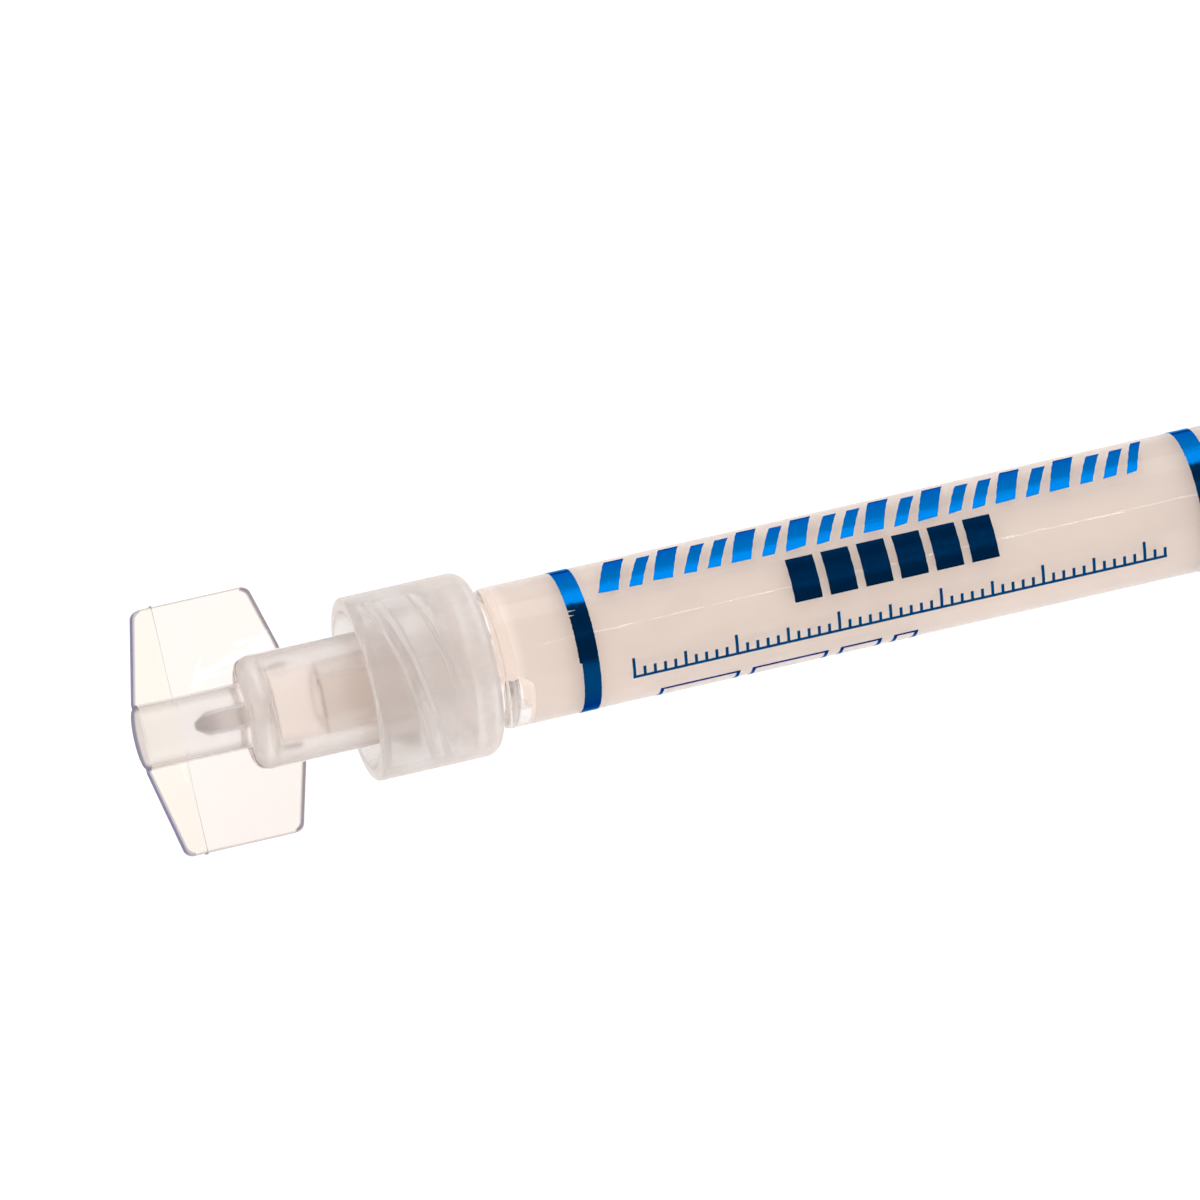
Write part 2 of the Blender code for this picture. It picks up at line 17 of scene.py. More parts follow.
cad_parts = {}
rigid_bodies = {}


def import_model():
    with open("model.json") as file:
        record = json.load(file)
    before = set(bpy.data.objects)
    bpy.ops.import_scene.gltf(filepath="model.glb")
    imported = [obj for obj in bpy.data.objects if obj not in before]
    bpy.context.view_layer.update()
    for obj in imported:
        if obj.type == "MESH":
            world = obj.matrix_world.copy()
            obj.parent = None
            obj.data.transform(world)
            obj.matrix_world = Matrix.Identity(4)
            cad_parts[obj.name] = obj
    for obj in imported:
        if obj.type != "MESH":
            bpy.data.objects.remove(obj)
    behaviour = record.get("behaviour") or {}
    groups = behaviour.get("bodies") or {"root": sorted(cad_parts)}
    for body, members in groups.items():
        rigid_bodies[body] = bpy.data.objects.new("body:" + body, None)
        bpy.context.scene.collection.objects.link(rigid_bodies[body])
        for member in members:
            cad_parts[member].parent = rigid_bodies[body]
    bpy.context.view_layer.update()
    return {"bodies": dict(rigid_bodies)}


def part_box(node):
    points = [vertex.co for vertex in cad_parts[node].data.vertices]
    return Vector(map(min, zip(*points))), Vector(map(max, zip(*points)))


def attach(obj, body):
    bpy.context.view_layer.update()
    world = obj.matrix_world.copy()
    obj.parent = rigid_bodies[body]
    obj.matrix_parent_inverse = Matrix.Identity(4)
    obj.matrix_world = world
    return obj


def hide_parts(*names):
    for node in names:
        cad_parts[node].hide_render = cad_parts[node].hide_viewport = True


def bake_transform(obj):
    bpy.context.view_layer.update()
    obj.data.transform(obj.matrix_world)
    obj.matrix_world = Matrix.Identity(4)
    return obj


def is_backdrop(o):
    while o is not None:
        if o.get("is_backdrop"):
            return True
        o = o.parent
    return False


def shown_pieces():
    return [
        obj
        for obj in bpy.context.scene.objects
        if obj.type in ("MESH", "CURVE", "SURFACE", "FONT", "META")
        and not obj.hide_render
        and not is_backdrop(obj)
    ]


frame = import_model()

MM = 0.001
TIP_X = -2.63  # the barrel's tip, the lowest x of its box
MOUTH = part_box("barrel")[0].x - TIP_X * MM  # the lock collar's mouth, in metres
TOWARDS_CAMERA = 137.15

# barrel
TUBE_R, BORE_R, TIP_BORE_R = 3.95, 3.05, 1.05
LUER_TIP_R, LUER_SLOPE = 3.95 / 2, 0.03
COLLAR_R, COLLAR_BORE_R = 5.15, 4.15
FLANGE_LONG, FLANGE_WIDE = 10.5, 5.95  # half sizes of the finger flange
FLANGE_X, FLANGE_END_X = 61.45, 62.75
BARREL_END_X = 62.9
POCKET_ANGLE = 227.0  # where the gel's front leaves a small air pocket

# lock thread
LUG_ANGLE, LEAD = 20.0, 5.0

# cap
CAP_X, HUB_X, CAP_MOUTH_X = -12.7, -6.7, 2.5
STEM_R, HUB_R = 1.8, 3.15
SOCKET_MOUTH_R, SOCKET_FLOOR_X = 4.33 / 2, -5.42
LUG_X = CAP_MOUTH_X - 0.62
PART_X = -10.45  # the cap's parting line
CAP_TURN = 45.0  # where the wings stand
WING_REACH, WING_FRONT_X, WING_REAR_X, WING_ROUND = 6.9, -11.53, -4.97, 0.55

# stopper and rod
STOPPER_X, STOPPER_END_X = 49.5, 55.5
SEAL_R, WAIST_R = 3.02, 2.72
ROD_X, ROD_R, DISC_END_X = 52.25, 1.15, 112.2


def at_x(x):
    """A place along the axis in metres."""
    return MOUTH + x * MM


# ---------------------------------------------------------------- shape helpers


def smooth01(share):
    share = np.clip(share, 0.0, 1.0)
    return share * share * (3 - 2 * share)


def rounded(corners, closed=True, per_turn=40):
    """A polygon's points, with each corner (x, y, radius) turned into an arc."""
    count = len(corners)
    points = []
    for i, (x, y, radius) in enumerate(corners):
        if radius <= 0 or (not closed and i in (0, count - 1)):
            points.append((x, y))
            continue
        last_x, last_y, _ = corners[i - 1]
        next_x, next_y, _ = corners[(i + 1) % count]
        back = math.hypot(last_x - x, last_y - y)
        ahead = math.hypot(next_x - x, next_y - y)
        back_x, back_y = (last_x - x) / back, (last_y - y) / back
        ahead_x, ahead_y = (next_x - x) / ahead, (next_y - y) / ahead
        opening = math.acos(max(-1.0, min(1.0, back_x * ahead_x + back_y * ahead_y)))
        reach = min(radius / math.tan(opening / 2), back * 0.49, ahead * 0.49)
        arc_r = reach * math.tan(opening / 2)
        half_x, half_y = back_x + ahead_x, back_y + ahead_y
        size = math.hypot(half_x, half_y)
        centre_x = x + half_x / size * arc_r / math.sin(opening / 2)
        centre_y = y + half_y / size * arc_r / math.sin(opening / 2)
        start = math.atan2(y + back_y * reach - centre_y, x + back_x * reach - centre_x)
        sweep = math.atan2(y + ahead_y * reach - centre_y, x + ahead_x * reach - centre_x) - start
        sweep = (sweep + math.pi) % (2 * math.pi) - math.pi
        steps = max(2, round(abs(sweep) / (2 * math.pi) * per_turn))
        for k in range(steps + 1):
            angle = start + sweep * k / steps
            points.append((centre_x + arc_r * math.cos(angle), centre_y + arc_r * math.sin(angle)))
    return points


def finer(points, step, closed=True, zone=None):
    """Adds points along a profile's long runs, so that later shaping has rows to move."""
    out = []
    count = len(points)
    for i, (x, y) in enumerate(points):
        out.append((x, y))
        if i == count - 1 and not closed:
            break
        next_x, next_y = points[(i + 1) % count]
        if zone and not zone((x + next_x) / 2, (y + next_y) / 2):
            continue
        extra = int(math.hypot(next_x - x, next_y - y) / step)
        for k in range(1, extra + 1):
            out.append((x + (next_x - x) * k / (extra + 1), y + (next_y - y) * k / (extra + 1)))
    return out


@contextmanager
def editing(mesh):
    shape = bmesh.new()
    shape.from_mesh(mesh)
    yield shape
    shape.to_mesh(mesh)
    shape.free()


def linked(name, mesh):
    obj = bpy.data.objects.new(name, mesh)
    bpy.context.scene.collection.objects.link(obj)
    return obj


def outward(mesh):
    with editing(mesh) as shape:
        bmesh.ops.recalc_face_normals(shape, faces=shape.faces)
        if shape.calc_volume(signed=True) < 0:
            bmesh.ops.reverse_faces(shape, faces=shape.faces)


def finish_shading(mesh, angle):
    mesh.shade_smooth()
    mesh.set_sharp_from_angle(angle=math.radians(angle))


def new_object(name, verts, faces, look, smooth):
    mesh = bpy.data.meshes.new(name)
    mesh.from_pydata(verts, [], faces)
    mesh.validate()
    obj = linked(name, mesh)
    outward(mesh)
    finish_shading(mesh, smooth)
    mesh.materials.append(look)
    return obj


def round_axis(x, radius, angle):
    """A point in metres, from mm and an angle in radians."""
    return (at_x(x), radius * math.cos(angle) * MM, radius * math.sin(angle) * MM)


def lathe(name, profile, look, closed=False, segments=224, shape=None, smooth=35.0):
    """Turns a profile of (x, radius) round the axis. An open profile ends in a pole at each end.

    shape(x, radius, angle) may move each row's points.
    """
    angle = np.linspace(0, 2 * math.pi, segments, endpoint=False)
    x = np.array([point[0] for point in profile])[:, None] + 0 * angle
    radius = np.array([point[1] for point in profile])[:, None] + 0 * angle
    if shape:
        x, radius = shape(x, radius, np.broadcast_to(angle, x.shape))
    rows = len(profile)
    verts, faces, first = [], [], []
    pole = [not closed and i in (0, rows - 1) for i in range(rows)]
    for i in range(rows):
        first.append(len(verts))
        if pole[i]:
            verts.append((at_x(x[i, 0]), 0.0, 0.0))
        else:
            verts += [round_axis(x[i, j], radius[i, j], angle[j]) for j in range(segments)]
    for i in range(rows if closed else rows - 1):
        k = (i + 1) % rows
        here, there = first[i], first[k]
        for j in range(segments):
            n = (j + 1) % segments
            if pole[i]:
                faces.append((here, there + n, there + j))
            elif pole[k]:
                faces.append((here + j, here + n, there))
            else:
                faces.append((here + j, here + n, there + n, there + j))
    return new_object(name, verts, faces, look, smooth)


def prism(name, outline, half, bevel=0.0):
    """A flat outline in (x, y) mm, half mm thick each way along z, with its rims rounded."""
    shape = bmesh.new()
    low = [shape.verts.new((x * MM, y * MM, -half * MM)) for x, y in outline]
    high = [shape.verts.new((x * MM, y * MM, half * MM)) for x, y in outline]
    shape.faces.new(low[::-1])
    shape.faces.new(high)
    count = len(outline)
    for i in range(count):
        n = (i + 1) % count
        shape.faces.new((low[i], low[n], high[n], high[i]))
    bmesh.ops.recalc_face_normals(shape, faces=shape.faces)
    if bevel:
        rims = [
            edge
            for edge in shape.edges
            if len(edge.link_faces) == 2 and any(len(f.verts) == count for f in edge.link_faces)
        ]
        bmesh.ops.bevel(
            shape,
            geom=rims,
            offset=bevel * MM,
            offset_type="OFFSET",
            segments=3,
            profile=0.5,
            affect="EDGES",
            clamp_overlap=True,
        )
    mesh = bpy.data.meshes.new(name)
    shape.to_mesh(mesh)
    shape.free()
    return linked(name, mesh)


def cut_rows(mesh, places):
    """Adds edge loops across a mesh at these x places, in mm in its own space."""
    with editing(mesh) as shape:
        for x in places:
            bmesh.ops.bisect_plane(
                shape,
                geom=shape.verts[:] + shape.edges[:] + shape.faces[:],
                dist=1e-8,
                plane_co=(x * MM, 0, 0),
                plane_no=(1, 0, 0),
            )
        shape.normal_update()


def fuse(obj, others, look):
    """Joins the others to obj as one solid, cleans its mesh and gives it one material."""
    for other in others:
        step = obj.modifiers.new(other.name, "BOOLEAN")
        step.operation = "UNION"
        step.object = other
        step.solver = "EXACT"
    bpy.context.view_layer.update()
    graph = bpy.context.evaluated_depsgraph_get()
    graph.update()
    mesh = bpy.data.meshes.new_from_object(obj.evaluated_get(graph))
    obj.modifiers.clear()
    old = obj.data
    obj.data = mesh
    bpy.data.meshes.remove(old)
    for other in others:
        bpy.data.objects.remove(other, do_unlink=True)
    with editing(mesh) as shape:
        bmesh.ops.remove_doubles(shape, verts=shape.verts, dist=1e-7)
        bmesh.ops.dissolve_degenerate(shape, dist=1e-7, edges=shape.edges)
    finish_shading(mesh, 32)
    mesh.materials.clear()
    mesh.materials.append(look)
    return obj


# ---------------------------------------------------------------- node helpers


def math_node(operation):
    """A method of Value that adds one Math node."""

    def apply(first, second=0.0, third=None):
        inputs = {0: first, 1: second}
        if third is not None:
            inputs[2] = third
        return first.tree.node("Math", inputs, operation=operation)

    return apply


class Value:
    """A node's output. Arithmetic and comparisons on it add Math nodes; a comparison gives 0 or 1."""

    def __init__(self, tree, socket):
        self.tree = tree
        self.socket = socket

    __add__ = math_node("ADD")
    __sub__ = math_node("SUBTRACT")
    __mul__ = math_node("MULTIPLY")
    __truediv__ = math_node("DIVIDE")
    __mod__ = math_node("MODULO")
    __lt__ = math_node("LESS_THAN")
    __gt__ = math_node("GREATER_THAN")
    __abs__ = math_node("ABSOLUTE")
    sqrt = math_node("SQRT")
    arctan2 = math_node("ARCTAN2")
    minimum = math_node("MINIMUM")
    maximum = math_node("MAXIMUM")
    madd = math_node("MULTIPLY_ADD")  # value.madd(factor, offset)

    def __rsub__(self, other):
        return self.tree.node("Math", {0: other, 1: self}, operation="SUBTRACT")

    def clamp(self):
        return self.tree.node("Clamp", {0: self})

    def step(self, low, high):
        """A smooth rise from 0 at low to 1 at high."""
        inputs = {"Value": self, "From Min": low, "From Max": high}
        return self.tree.node("MapRange", inputs, interpolation_type="SMOOTHSTEP")


class Tree:
    """Short calls for building the nodes of one material or world."""

    def __init__(self, owner):
        owner.use_nodes = True
        self.owner = owner
        self.nodes = owner.node_tree.nodes
        self.links = owner.node_tree.links
        self.object_at, self.generated = self.node("TexCoord", output=("Object", "Generated"))

    def feed(self, target, source):
        if isinstance(source, Value):
            self.links.new(source.socket, target)
        elif target.type == "RGBA":
            target.default_value = (*source, 1.0)
        else:
            target.default_value = source

    def fill(self, node, inputs, output=0):
        """Sets or links a node's inputs, and gives one of its outputs, or a list for a tuple."""
        for key, source in inputs.items():
            self.feed(node.inputs[key], source)
        if isinstance(output, tuple):
            return [Value(self, node.outputs[key]) for key in output]
        return Value(self, node.outputs[output])

    def node(self, kind, inputs=None, output=0, **attributes):
        made = self.nodes.new("ShaderNode" + kind)
        for key, value in attributes.items():
            setattr(made, key, value)
        return self.fill(made, inputs or {}, output)

    def principled(self, inputs):
        return self.fill(self.nodes["Principled BSDF"], inputs)

    def closure(self, kind, colour):
        return self.node(kind, {"Color": colour})

    def ramp(self, value, stops, smooth="LINEAR"):
        """Colours by value, from stops of (position, colour)."""
        made = self.nodes.new("ShaderNodeValToRGB")
        made.color_ramp.interpolation = smooth
        elements = made.color_ramp.elements
        while len(elements) < len(stops):
            elements.new(0.5)
        for element, (position, colour) in zip(elements, stops):
            element.position = position
            element.color = (*colour, 1.0)
        return self.fill(made, {0: value})

    def noise(self, scale, detail=3.0, rough=0.5, stretch=(1, 1, 1), distortion=0.0):
        inputs = {
            "Vector": self.node("Mapping", {0: self.object_at, "Scale": stretch}),
            "Scale": scale,
            "Detail": detail,
            "Roughness": rough,
            "Distortion": distortion,
        }
        return self.node("TexNoise", inputs, "Fac")

    def bump(self, height, strength, distance):
        inputs = {"Strength": strength, "Distance": distance, "Height": height}
        return self.node("Bump", inputs)

    def mix(self, factor, first, second):
        return self.node("MixShader", {0: factor, 1: first, 2: second})

    def add(self, first, second):
        return self.node("AddShader", {0: first, 1: second})

    def colour_mix(self, factor, first, second, how="MIX"):
        inputs = {0: factor, 6: first, 7: second}
        return self.node("Mix", inputs, 2, data_type="RGBA", blend_type=how)

    def split(self, vector):
        return self.node("SeparateXYZ", {0: vector}, (0, 1, 2))

    def position(self):
        return self.split(self.object_at)

    def facing(self):
        return self.node("LayerWeight", {"Blend": 0.5}, "Facing")

    def surface(self, shader):
        output = self.nodes.get("Material Output") or self.nodes["World Output"]
        self.feed(output.inputs["Surface"], shader)


def new_look(name):
    return Tree(bpy.data.materials.new(name))


def radius_of(y, z):
    return (y * y + z * z).sqrt()


def towards(y, z, degrees):
    """The part of (y, z) that lies along a direction round the axis."""
    return y * math.cos(math.radians(degrees)) + z * math.sin(math.radians(degrees))


# ---------------------------------------------------------------- materials

GEL = (0.785, 0.71, 0.658)
GEL_DARK = tuple(channel * 0.93 for channel in GEL)
GEL_LIGHT = (0.815, 0.755, 0.71)
HAZE = (0.665, 0.605, 0.575)
# painted shade colours: for turned-away edges, for the wing ends and for the wings' outer edges
RIM_SHADE = (0.70, 0.65, 0.63)
WING_END_SHADE = (0.09, 0.085, 0.15)
WING_RIM_SHADE = (0.30, 0.27, 0.27)

# painted glow: emission that stands in for the light that cloudy bodies give back after scattering it
# many times
HAZE_GLOW, GEL_GLOW = 0.14, 0.08

# the share of milky skin over each part of the clear mouldings
COLLAR_HAZE, TIP_HAZE, TUBE_HAZE = 0.27, 0.05, 0.04
HUB_HAZE, STEM_HAZE, WING_HAZE = 0.09, 0.18, 0.015

HAZE_SPREAD, HAZE_LEAST = 0.7, 0.65  # how the cloud noise varies that share


def glowing(tree, scattered, colour, strength):
    """Adds a painted glow: emission standing in for the light that reaches a cloudy body by being
    scattered many times inside it.
    """
    return tree.add(scattered, tree.node("Emission", {"Color": colour, "Strength": strength}))


def milk(tree):
    """Light scattered by a cloudy skin: part sent back, part let through, plus a painted glow."""
    skin = tree.closure("BsdfDiffuse", HAZE)
    core = tree.closure("BsdfTranslucent", HAZE)
    return glowing(tree, tree.mix(0.6, skin, core), colour=(1.0, 0.93, 0.895), strength=HAZE_GLOW)


def moulded(tree, tint, roughness, grain):
    """The clear share of a moulded plastic, with flow waves and finer drag marks along it."""
    waves = tree.noise(scale=260.0, detail=2.0, stretch=(0.35, 1, 1))
    marks = tree.noise(scale=1900.0, detail=4.0, rough=0.6, stretch=(0.12, 1, 1))
    height = marks.madd(0.18, waves)
    return tree.principled(
        {
            "Base Color": tint,
            "Roughness": marks.madd(0.05, roughness),
            "Transmission Weight": 1.0,
            "IOR": 1.49,
            "Normal": tree.bump(height, strength=0.10 * grain, distance=0.00035),
        }
    )


def wet_bore(tree, x, y, z, radius):
    """Where gel wets the bore: between the tip and the stopper, but not at the air pocket."""
    inner = radius < 3.25 * MM
    behind = x > at_x(7.5)
    at_stopper = tree.node("TexCoord", output="Object", object=frame["bodies"]["stopper"])
    ahead = tree.split(at_stopper)[0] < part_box("stopper")[0].x + 0.5 * MM
    pocket = (towards(y, z, POCKET_ANGLE) > 1.25 * MM) * (x < at_x(8.75))
    return inner * behind * ahead * (1.0 - pocket)


def barrel_look():
    """Clear barrel plastic: cloudier in the thick collar, with no air between bore and gel."""
    tree = new_look("barrel_plastic_fine")
    x, y, z = tree.position()
    radius = radius_of(y, z)
    facing = tree.facing()
    # painted shade: the clear tint darkens at edges that turn away from the view
    stops = [(0.0, (0.985, 0.968, 0.958)), (0.80, (0.97, 0.95, 0.94)), (0.95, RIM_SHADE), (1.0, RIM_SHADE)]
    rim = tree.ramp(facing, stops)
    cloud = tree.noise(scale=420.0, rough=0.6)
    collar = 1.0 - x.step(at_x(6.4), at_x(7.6))
    tip = collar * (radius < 2.9 * MM)
    rim = tree.colour_mix(tip, rim, (1.0, 0.995, 0.99))
    clear = moulded(tree, rim, roughness=collar.madd(0.14, 0.04), grain=1.0)
    # haze by part, more at the collar's thick rear, then more where the surface turns away
    skin = collar.madd(COLLAR_HAZE - TUBE_HAZE, TUBE_HAZE)
    skin = (collar * x.step(at_x(3.4), at_x(5.4))).madd(0.22, skin)
    skin = tip.madd(TIP_HAZE - COLLAR_HAZE, skin)
    skin = skin * cloud.madd(HAZE_SPREAD, HAZE_LEAST)
    edge = tip.madd(-0.26, 0.30)
    skin = skin + facing.step(0.35, 0.95) * edge
    plastic = tree.mix(skin.clamp(), clear, milk(tree))
    through = tree.closure("BsdfTransparent", (0.995, 0.985, 0.98))
    tree.surface(tree.mix(wet_bore(tree, x, y, z, radius), plastic, through))
    return tree.owner


def cap_look():
    """Clear cap plastic: nearly clear wings with painted dark shade at their ends, and a cloudier hub
    and stem.
    """
    tree = new_look("cap_plastic_fine")
    x, y, z = tree.position()
    radius = radius_of(y, z)
    facing = tree.facing()
    normal_x, normal_y, normal_z = tree.split(tree.node("NewGeometry", output="Normal"))

    # the faces that look along the axis, and the parting line's witness, where dark shade is painted
    ends = abs(normal_x).step(0.30, 0.80)
    witness = abs(x - at_x(PART_X)) < 0.09 * MM
    ends = ends * facing.step(0.20, 0.55).maximum(witness)

    # masks: a wing is the thin slab outside the hub's rounded front, the stem is ahead of the hub
    behind = (x - at_x(-5.75)).minimum(0.0)
    bulge = (0.95 * MM) ** 2 - behind * behind
    hub_r = bulge.maximum(0.0).sqrt() + 2.28 * MM
    thin = (x < at_x(-6.72)).maximum(radius > hub_r)
    turn = math.radians(CAP_TURN)
    slab = abs(z * math.cos(turn) - y * math.sin(turn)) < 0.64 * MM
    slab = slab * (x < at_x(-3.6))
    stem = (x < at_x(-6.72)) * (radius < 1.86 * MM)
    wing = thin * slab * (radius > 1.9 * MM)
    thin = wing.maximum(stem)

    # the colour of the clear share, with painted dark shade on the wing's end faces, and yellower
    # ahead of the parting line
    clean = tree.colour_mix(stem, (0.975, 0.905, 0.86), (0.93, 0.87, 0.84))
    tint = tree.colour_mix(ends * wing, clean, WING_END_SHADE)
    front = x < at_x(PART_X)
    yellowed = tree.colour_mix(1.0, tint, (1.0, 0.99, 0.945), "MULTIPLY")
    tint = tree.colour_mix(front * thin, tint, yellowed)
    # painted shade: the clear tint darkens at edges that turn away from the view
    stops = [(0.0, (1, 1, 1)), (0.82, (0.98, 0.97, 0.97)), (0.96, RIM_SHADE), (1.0, RIM_SHADE)]
    tint = tree.colour_mix(1.0, tint, tree.ramp(facing, stops), "MULTIPLY")
    clear = moulded(tree, tint, roughness=wing.madd(-0.17, 0.20), grain=0.8)

    # haze by part, more at the hub's front and the stem's end face, and at turned-away edges
    cloud = tree.noise(scale=380.0, rough=0.6)
    skin = wing.madd(WING_HAZE - HUB_HAZE, HUB_HAZE)
    skin = stem.madd(STEM_HAZE - HUB_HAZE, skin)
    skin = skin * cloud.madd(HAZE_SPREAD, HAZE_LEAST)
    edge = facing.step(0.35, 0.95) * thin.madd(-0.22, 0.34)
    blunt = (1.0 - thin) * (1.0 - x.step(at_x(-6.2), at_x(-5.3)))
    face = stem * (x < at_x(-12.5))
    skin = skin + blunt.maximum(face) * 0.38
    look = tree.mix((skin + edge).clamp(), clear, milk(tree))

    # painted shade: tan on the turned-away sides of the outside of the hub and stem
    tan = tree.closure("BsdfDiffuse", (0.34, 0.285, 0.26))
    side = facing.step(0.22, 0.58) * (1.0 - wing)
    outside = (radius > 2.95 * MM).maximum(stem * (radius > 1.6 * MM))
    side = side * outside
    look = tree.mix(side * stem.madd(0.10, 0.22), look, tan)

    # painted shade: dark wing ends, and a dark crescent on the stem's end face, on the side away from
    # the camera
    near = towards(y, z, TOWARDS_CAMERA)
    aside = radius * radius - near * near
    reach = ((1.7 * MM) ** 2 - aside).maximum(0.0).sqrt()
    nose = 1.0 - (near + reach).step(1.0 * MM, 2.0 * MM)
    nose = nose * (x < at_x(-12.45)) * (1.0 - wing)
    painted_dark = (wing * ends * 0.62).maximum(nose * 0.80)
    painted_dark = painted_dark * (tree.node("LightPath", output="Glossy Depth") < 0.5)
    look = tree.mix(painted_dark, look, tree.closure("BsdfDiffuse", WING_END_SHADE))
    look = edge_lines(tree, look, x, y, z, wing)

    # painted grey shade on the wings' outer edges
    radial = abs(towards(normal_y, normal_z, CAP_TURN))
    outer = radial.step(0.35, 0.85) * (radius > 6.6 * MM)
    look = tree.mix(outer * 0.30, look, tree.closure("BsdfDiffuse", WING_RIM_SHADE))

    # painted shade in the blind core hole, darker towards its floor
    core = (radius < 0.58 * MM) * (x < at_x(-5.5)) * (x > at_x(-9.75))
    shade = tree.closure("BsdfDiffuse", (0.22, 0.20, 0.21))
    deep = 1.0 - x.step(at_x(-9.2), at_x(-7.8))
    look = tree.mix(core * deep.madd(0.30, 0.14), look, shade)
    tree.surface(look)
    return tree.owner


def edge_lines(tree, look, x, y, z, wing):
    """Painted dark lines just inside a wing's outline, standing in for the shade where its rounded
    edges bend the light away.
    """
    front_slope, rear_slope = 1.09 / 4.95, 1.02 / 3.7  # how the outline's sloping edges run
    front_square, rear_square = 0.977, 0.964  # from a distance along x to one square to the edge
    out = abs(towards(y, z, CAP_TURN)) * (1.0 / MM)
    along = (x - MOUTH) * (1.0 / MM)
    drop = WING_REACH - out
    glossy, passed = tree.node("LightPath", output=("Glossy Depth", "Transmission Depth"))
    shown = (glossy < 0.5) * (passed < 1.5)
    wing = wing * shown
    rear = (drop.madd(rear_slope, WING_REAR_X) - along) * rear_square
    front = (along + drop.madd(front_slope, -WING_FRONT_X)) * front_square

    def corner(side):
        """The distance inside a rounded corner between one sloping edge and the outer edge."""
        from_side = (WING_ROUND - side).maximum(0.0)
        from_outer = (WING_ROUND - drop).maximum(0.0)
        return WING_ROUND - (from_side * from_side + from_outer * from_outer).sqrt()

    def line(distance, width, strength, near, colour):
        paint = tree.closure("BsdfDiffuse", colour)
        share = 1.0 - distance.step(width * 0.35, width)
        return tree.mix(share * near * (wing * strength), look, paint)

    look = line(drop, width=0.12, strength=0.55, near=1.0, colour=(0.34, 0.28, 0.26))
    look = line(
        corner(front), width=0.18, strength=0.52, near=front < 0.42, colour=(0.13, 0.12, 0.22)
    )
    return line(
        corner(rear), width=0.25, strength=0.58, near=rear < 0.42, colour=(0.16, 0.12, 0.17)
    )


def gel_look(name, cloudiness):
    """Pale beige gel with faint smears; cloudiness is how much it hides what is behind it."""
    tree = new_look(name)
    smear = tree.noise(scale=210.0, detail=4.0, rough=0.55, stretch=(0.45, 1, 1), distortion=1.2)
    fine = tree.noise(scale=900.0, stretch=(0.6, 1, 1), distortion=0.6)
    stops = [(0.0, (0, 0, 0)), (0.60, (0, 0, 0)), (0.70, (1, 1, 1)), (0.80, (0.2, 0.2, 0.2))]
    streak = tree.ramp(smear, stops, "EASE")
    body = tree.colour_mix(streak * 0.5, GEL, GEL_DARK)
    body = tree.colour_mix(((fine - 0.45) * 0.8).clamp(), body, GEL_LIGHT)
    through = tree.closure("BsdfTransparent", (1.0, 0.99, 0.985))
    skin = tree.closure("BsdfDiffuse", body)
    core = tree.closure("BsdfTranslucent", body)
    # painted glow over the whole column, a little more light in the column's front end, and more
    # still on its front face, where the collar shades it
    x, y, z = tree.position()
    painted_front_glow = (1.0 - x.step(at_x(8.2), at_x(8.8))) * 0.12
    hollow = (radius_of(y, z) < 2.98 * MM) * (x < at_x(9.2))
    glow = painted_front_glow.maximum(hollow * 0.30) + GEL_GLOW
    depth = glowing(tree, tree.mix(0.35, skin, core), colour=(1.0, 0.88, 0.80), strength=glow)
    tree.surface(tree.mix(cloudiness, through, depth))
    tree.nodes.remove(tree.nodes["Principled BSDF"])
    return tree.owner


# painted reflection: the foil's colour round the tube, bright where it faces up, navy at the sides,
# with a painted highlight strip and a dark line between: (degrees, colour), where 90 is +Y and 180 is
# the top
FOIL_PAINTED_LIGHT = [
    (0, (0.0, 0.055, 0.17)),
    (138, (0.0, 0.10, 0.30)),
    (143, (0.09, 0.27, 0.60)),
    (147, (0.07, 0.24, 0.58)),
    (150, (0.0, 0.016, 0.06)),
    (153.5, (0.0, 0.016, 0.06)),
    (157, (0.0, 0.150, 0.47)),
    (196, (0.0, 0.150, 0.47)),
    (198.5, (0.0, 0.020, 0.065)),
    (244, (0.0, 0.024, 0.075)),
    (248, (0.0, 0.045, 0.14)),
    (360, (0.0, 0.050, 0.15)),
]


def foil_look():
    """Hot-stamped blue foil: metallic, with a painted reflection that makes it brighter where it
    faces up, with wrinkles and specks.
    """
    tree = new_look("blue_foil_fine")
    x, y, z = tree.position()
    turn = (z.arctan2(y) * (180.0 / math.pi) + 450.0) % 360.0
    wobble = tree.noise(scale=1500.0, rough=0.6, stretch=(1, 0.4, 0.4))
    turn = turn + (wobble - 0.5) * 5.0
    shade = tree.ramp(turn / 360.0, [(degrees / 360, colour) for degrees, colour in FOIL_PAINTED_LIGHT])
    grain = tree.noise(scale=5200.0, rough=0.6)
    wrinkle = tree.noise(scale=2600.0, detail=4.0, rough=0.65, stretch=(0.25, 1, 1))
    tree.principled(
        {
            "Base Color": tree.colour_mix(grain * 0.30, shade, (0.20, 0.50, 0.75), "SOFT_LIGHT"),
            "Metallic": 1.0,
            "Specular Tint": (0.05, 0.42, 0.80),
            "Roughness": grain.madd(0.16, 0.14),
            "Normal": tree.bump(wrinkle, strength=0.25, distance=0.00008),
        }
    )
    return tree.owner


def rubber_look():
    """Grey halogenated-rubber stopper: matt, with a dusty bloom and moulding specks."""
    tree = new_look("stopper_rubber_fine")
    bloom = tree.noise(scale=700.0, detail=5.0, rough=0.6)
    speck = tree.noise(scale=5200.0, detail=2.0)
    stops = [(0.30, (0.030, 0.031, 0.033)), (0.72, (0.070, 0.071, 0.074))]
    tree.principled(
        {
            "Base Color": tree.ramp(bloom, stops),
            "Roughness": bloom.madd(0.25, 0.38),
            "IOR": 1.52,
            "Normal": tree.bump(speck.madd(0.4, bloom), strength=0.22, distance=0.00006),
        }
    )
    return tree.owner


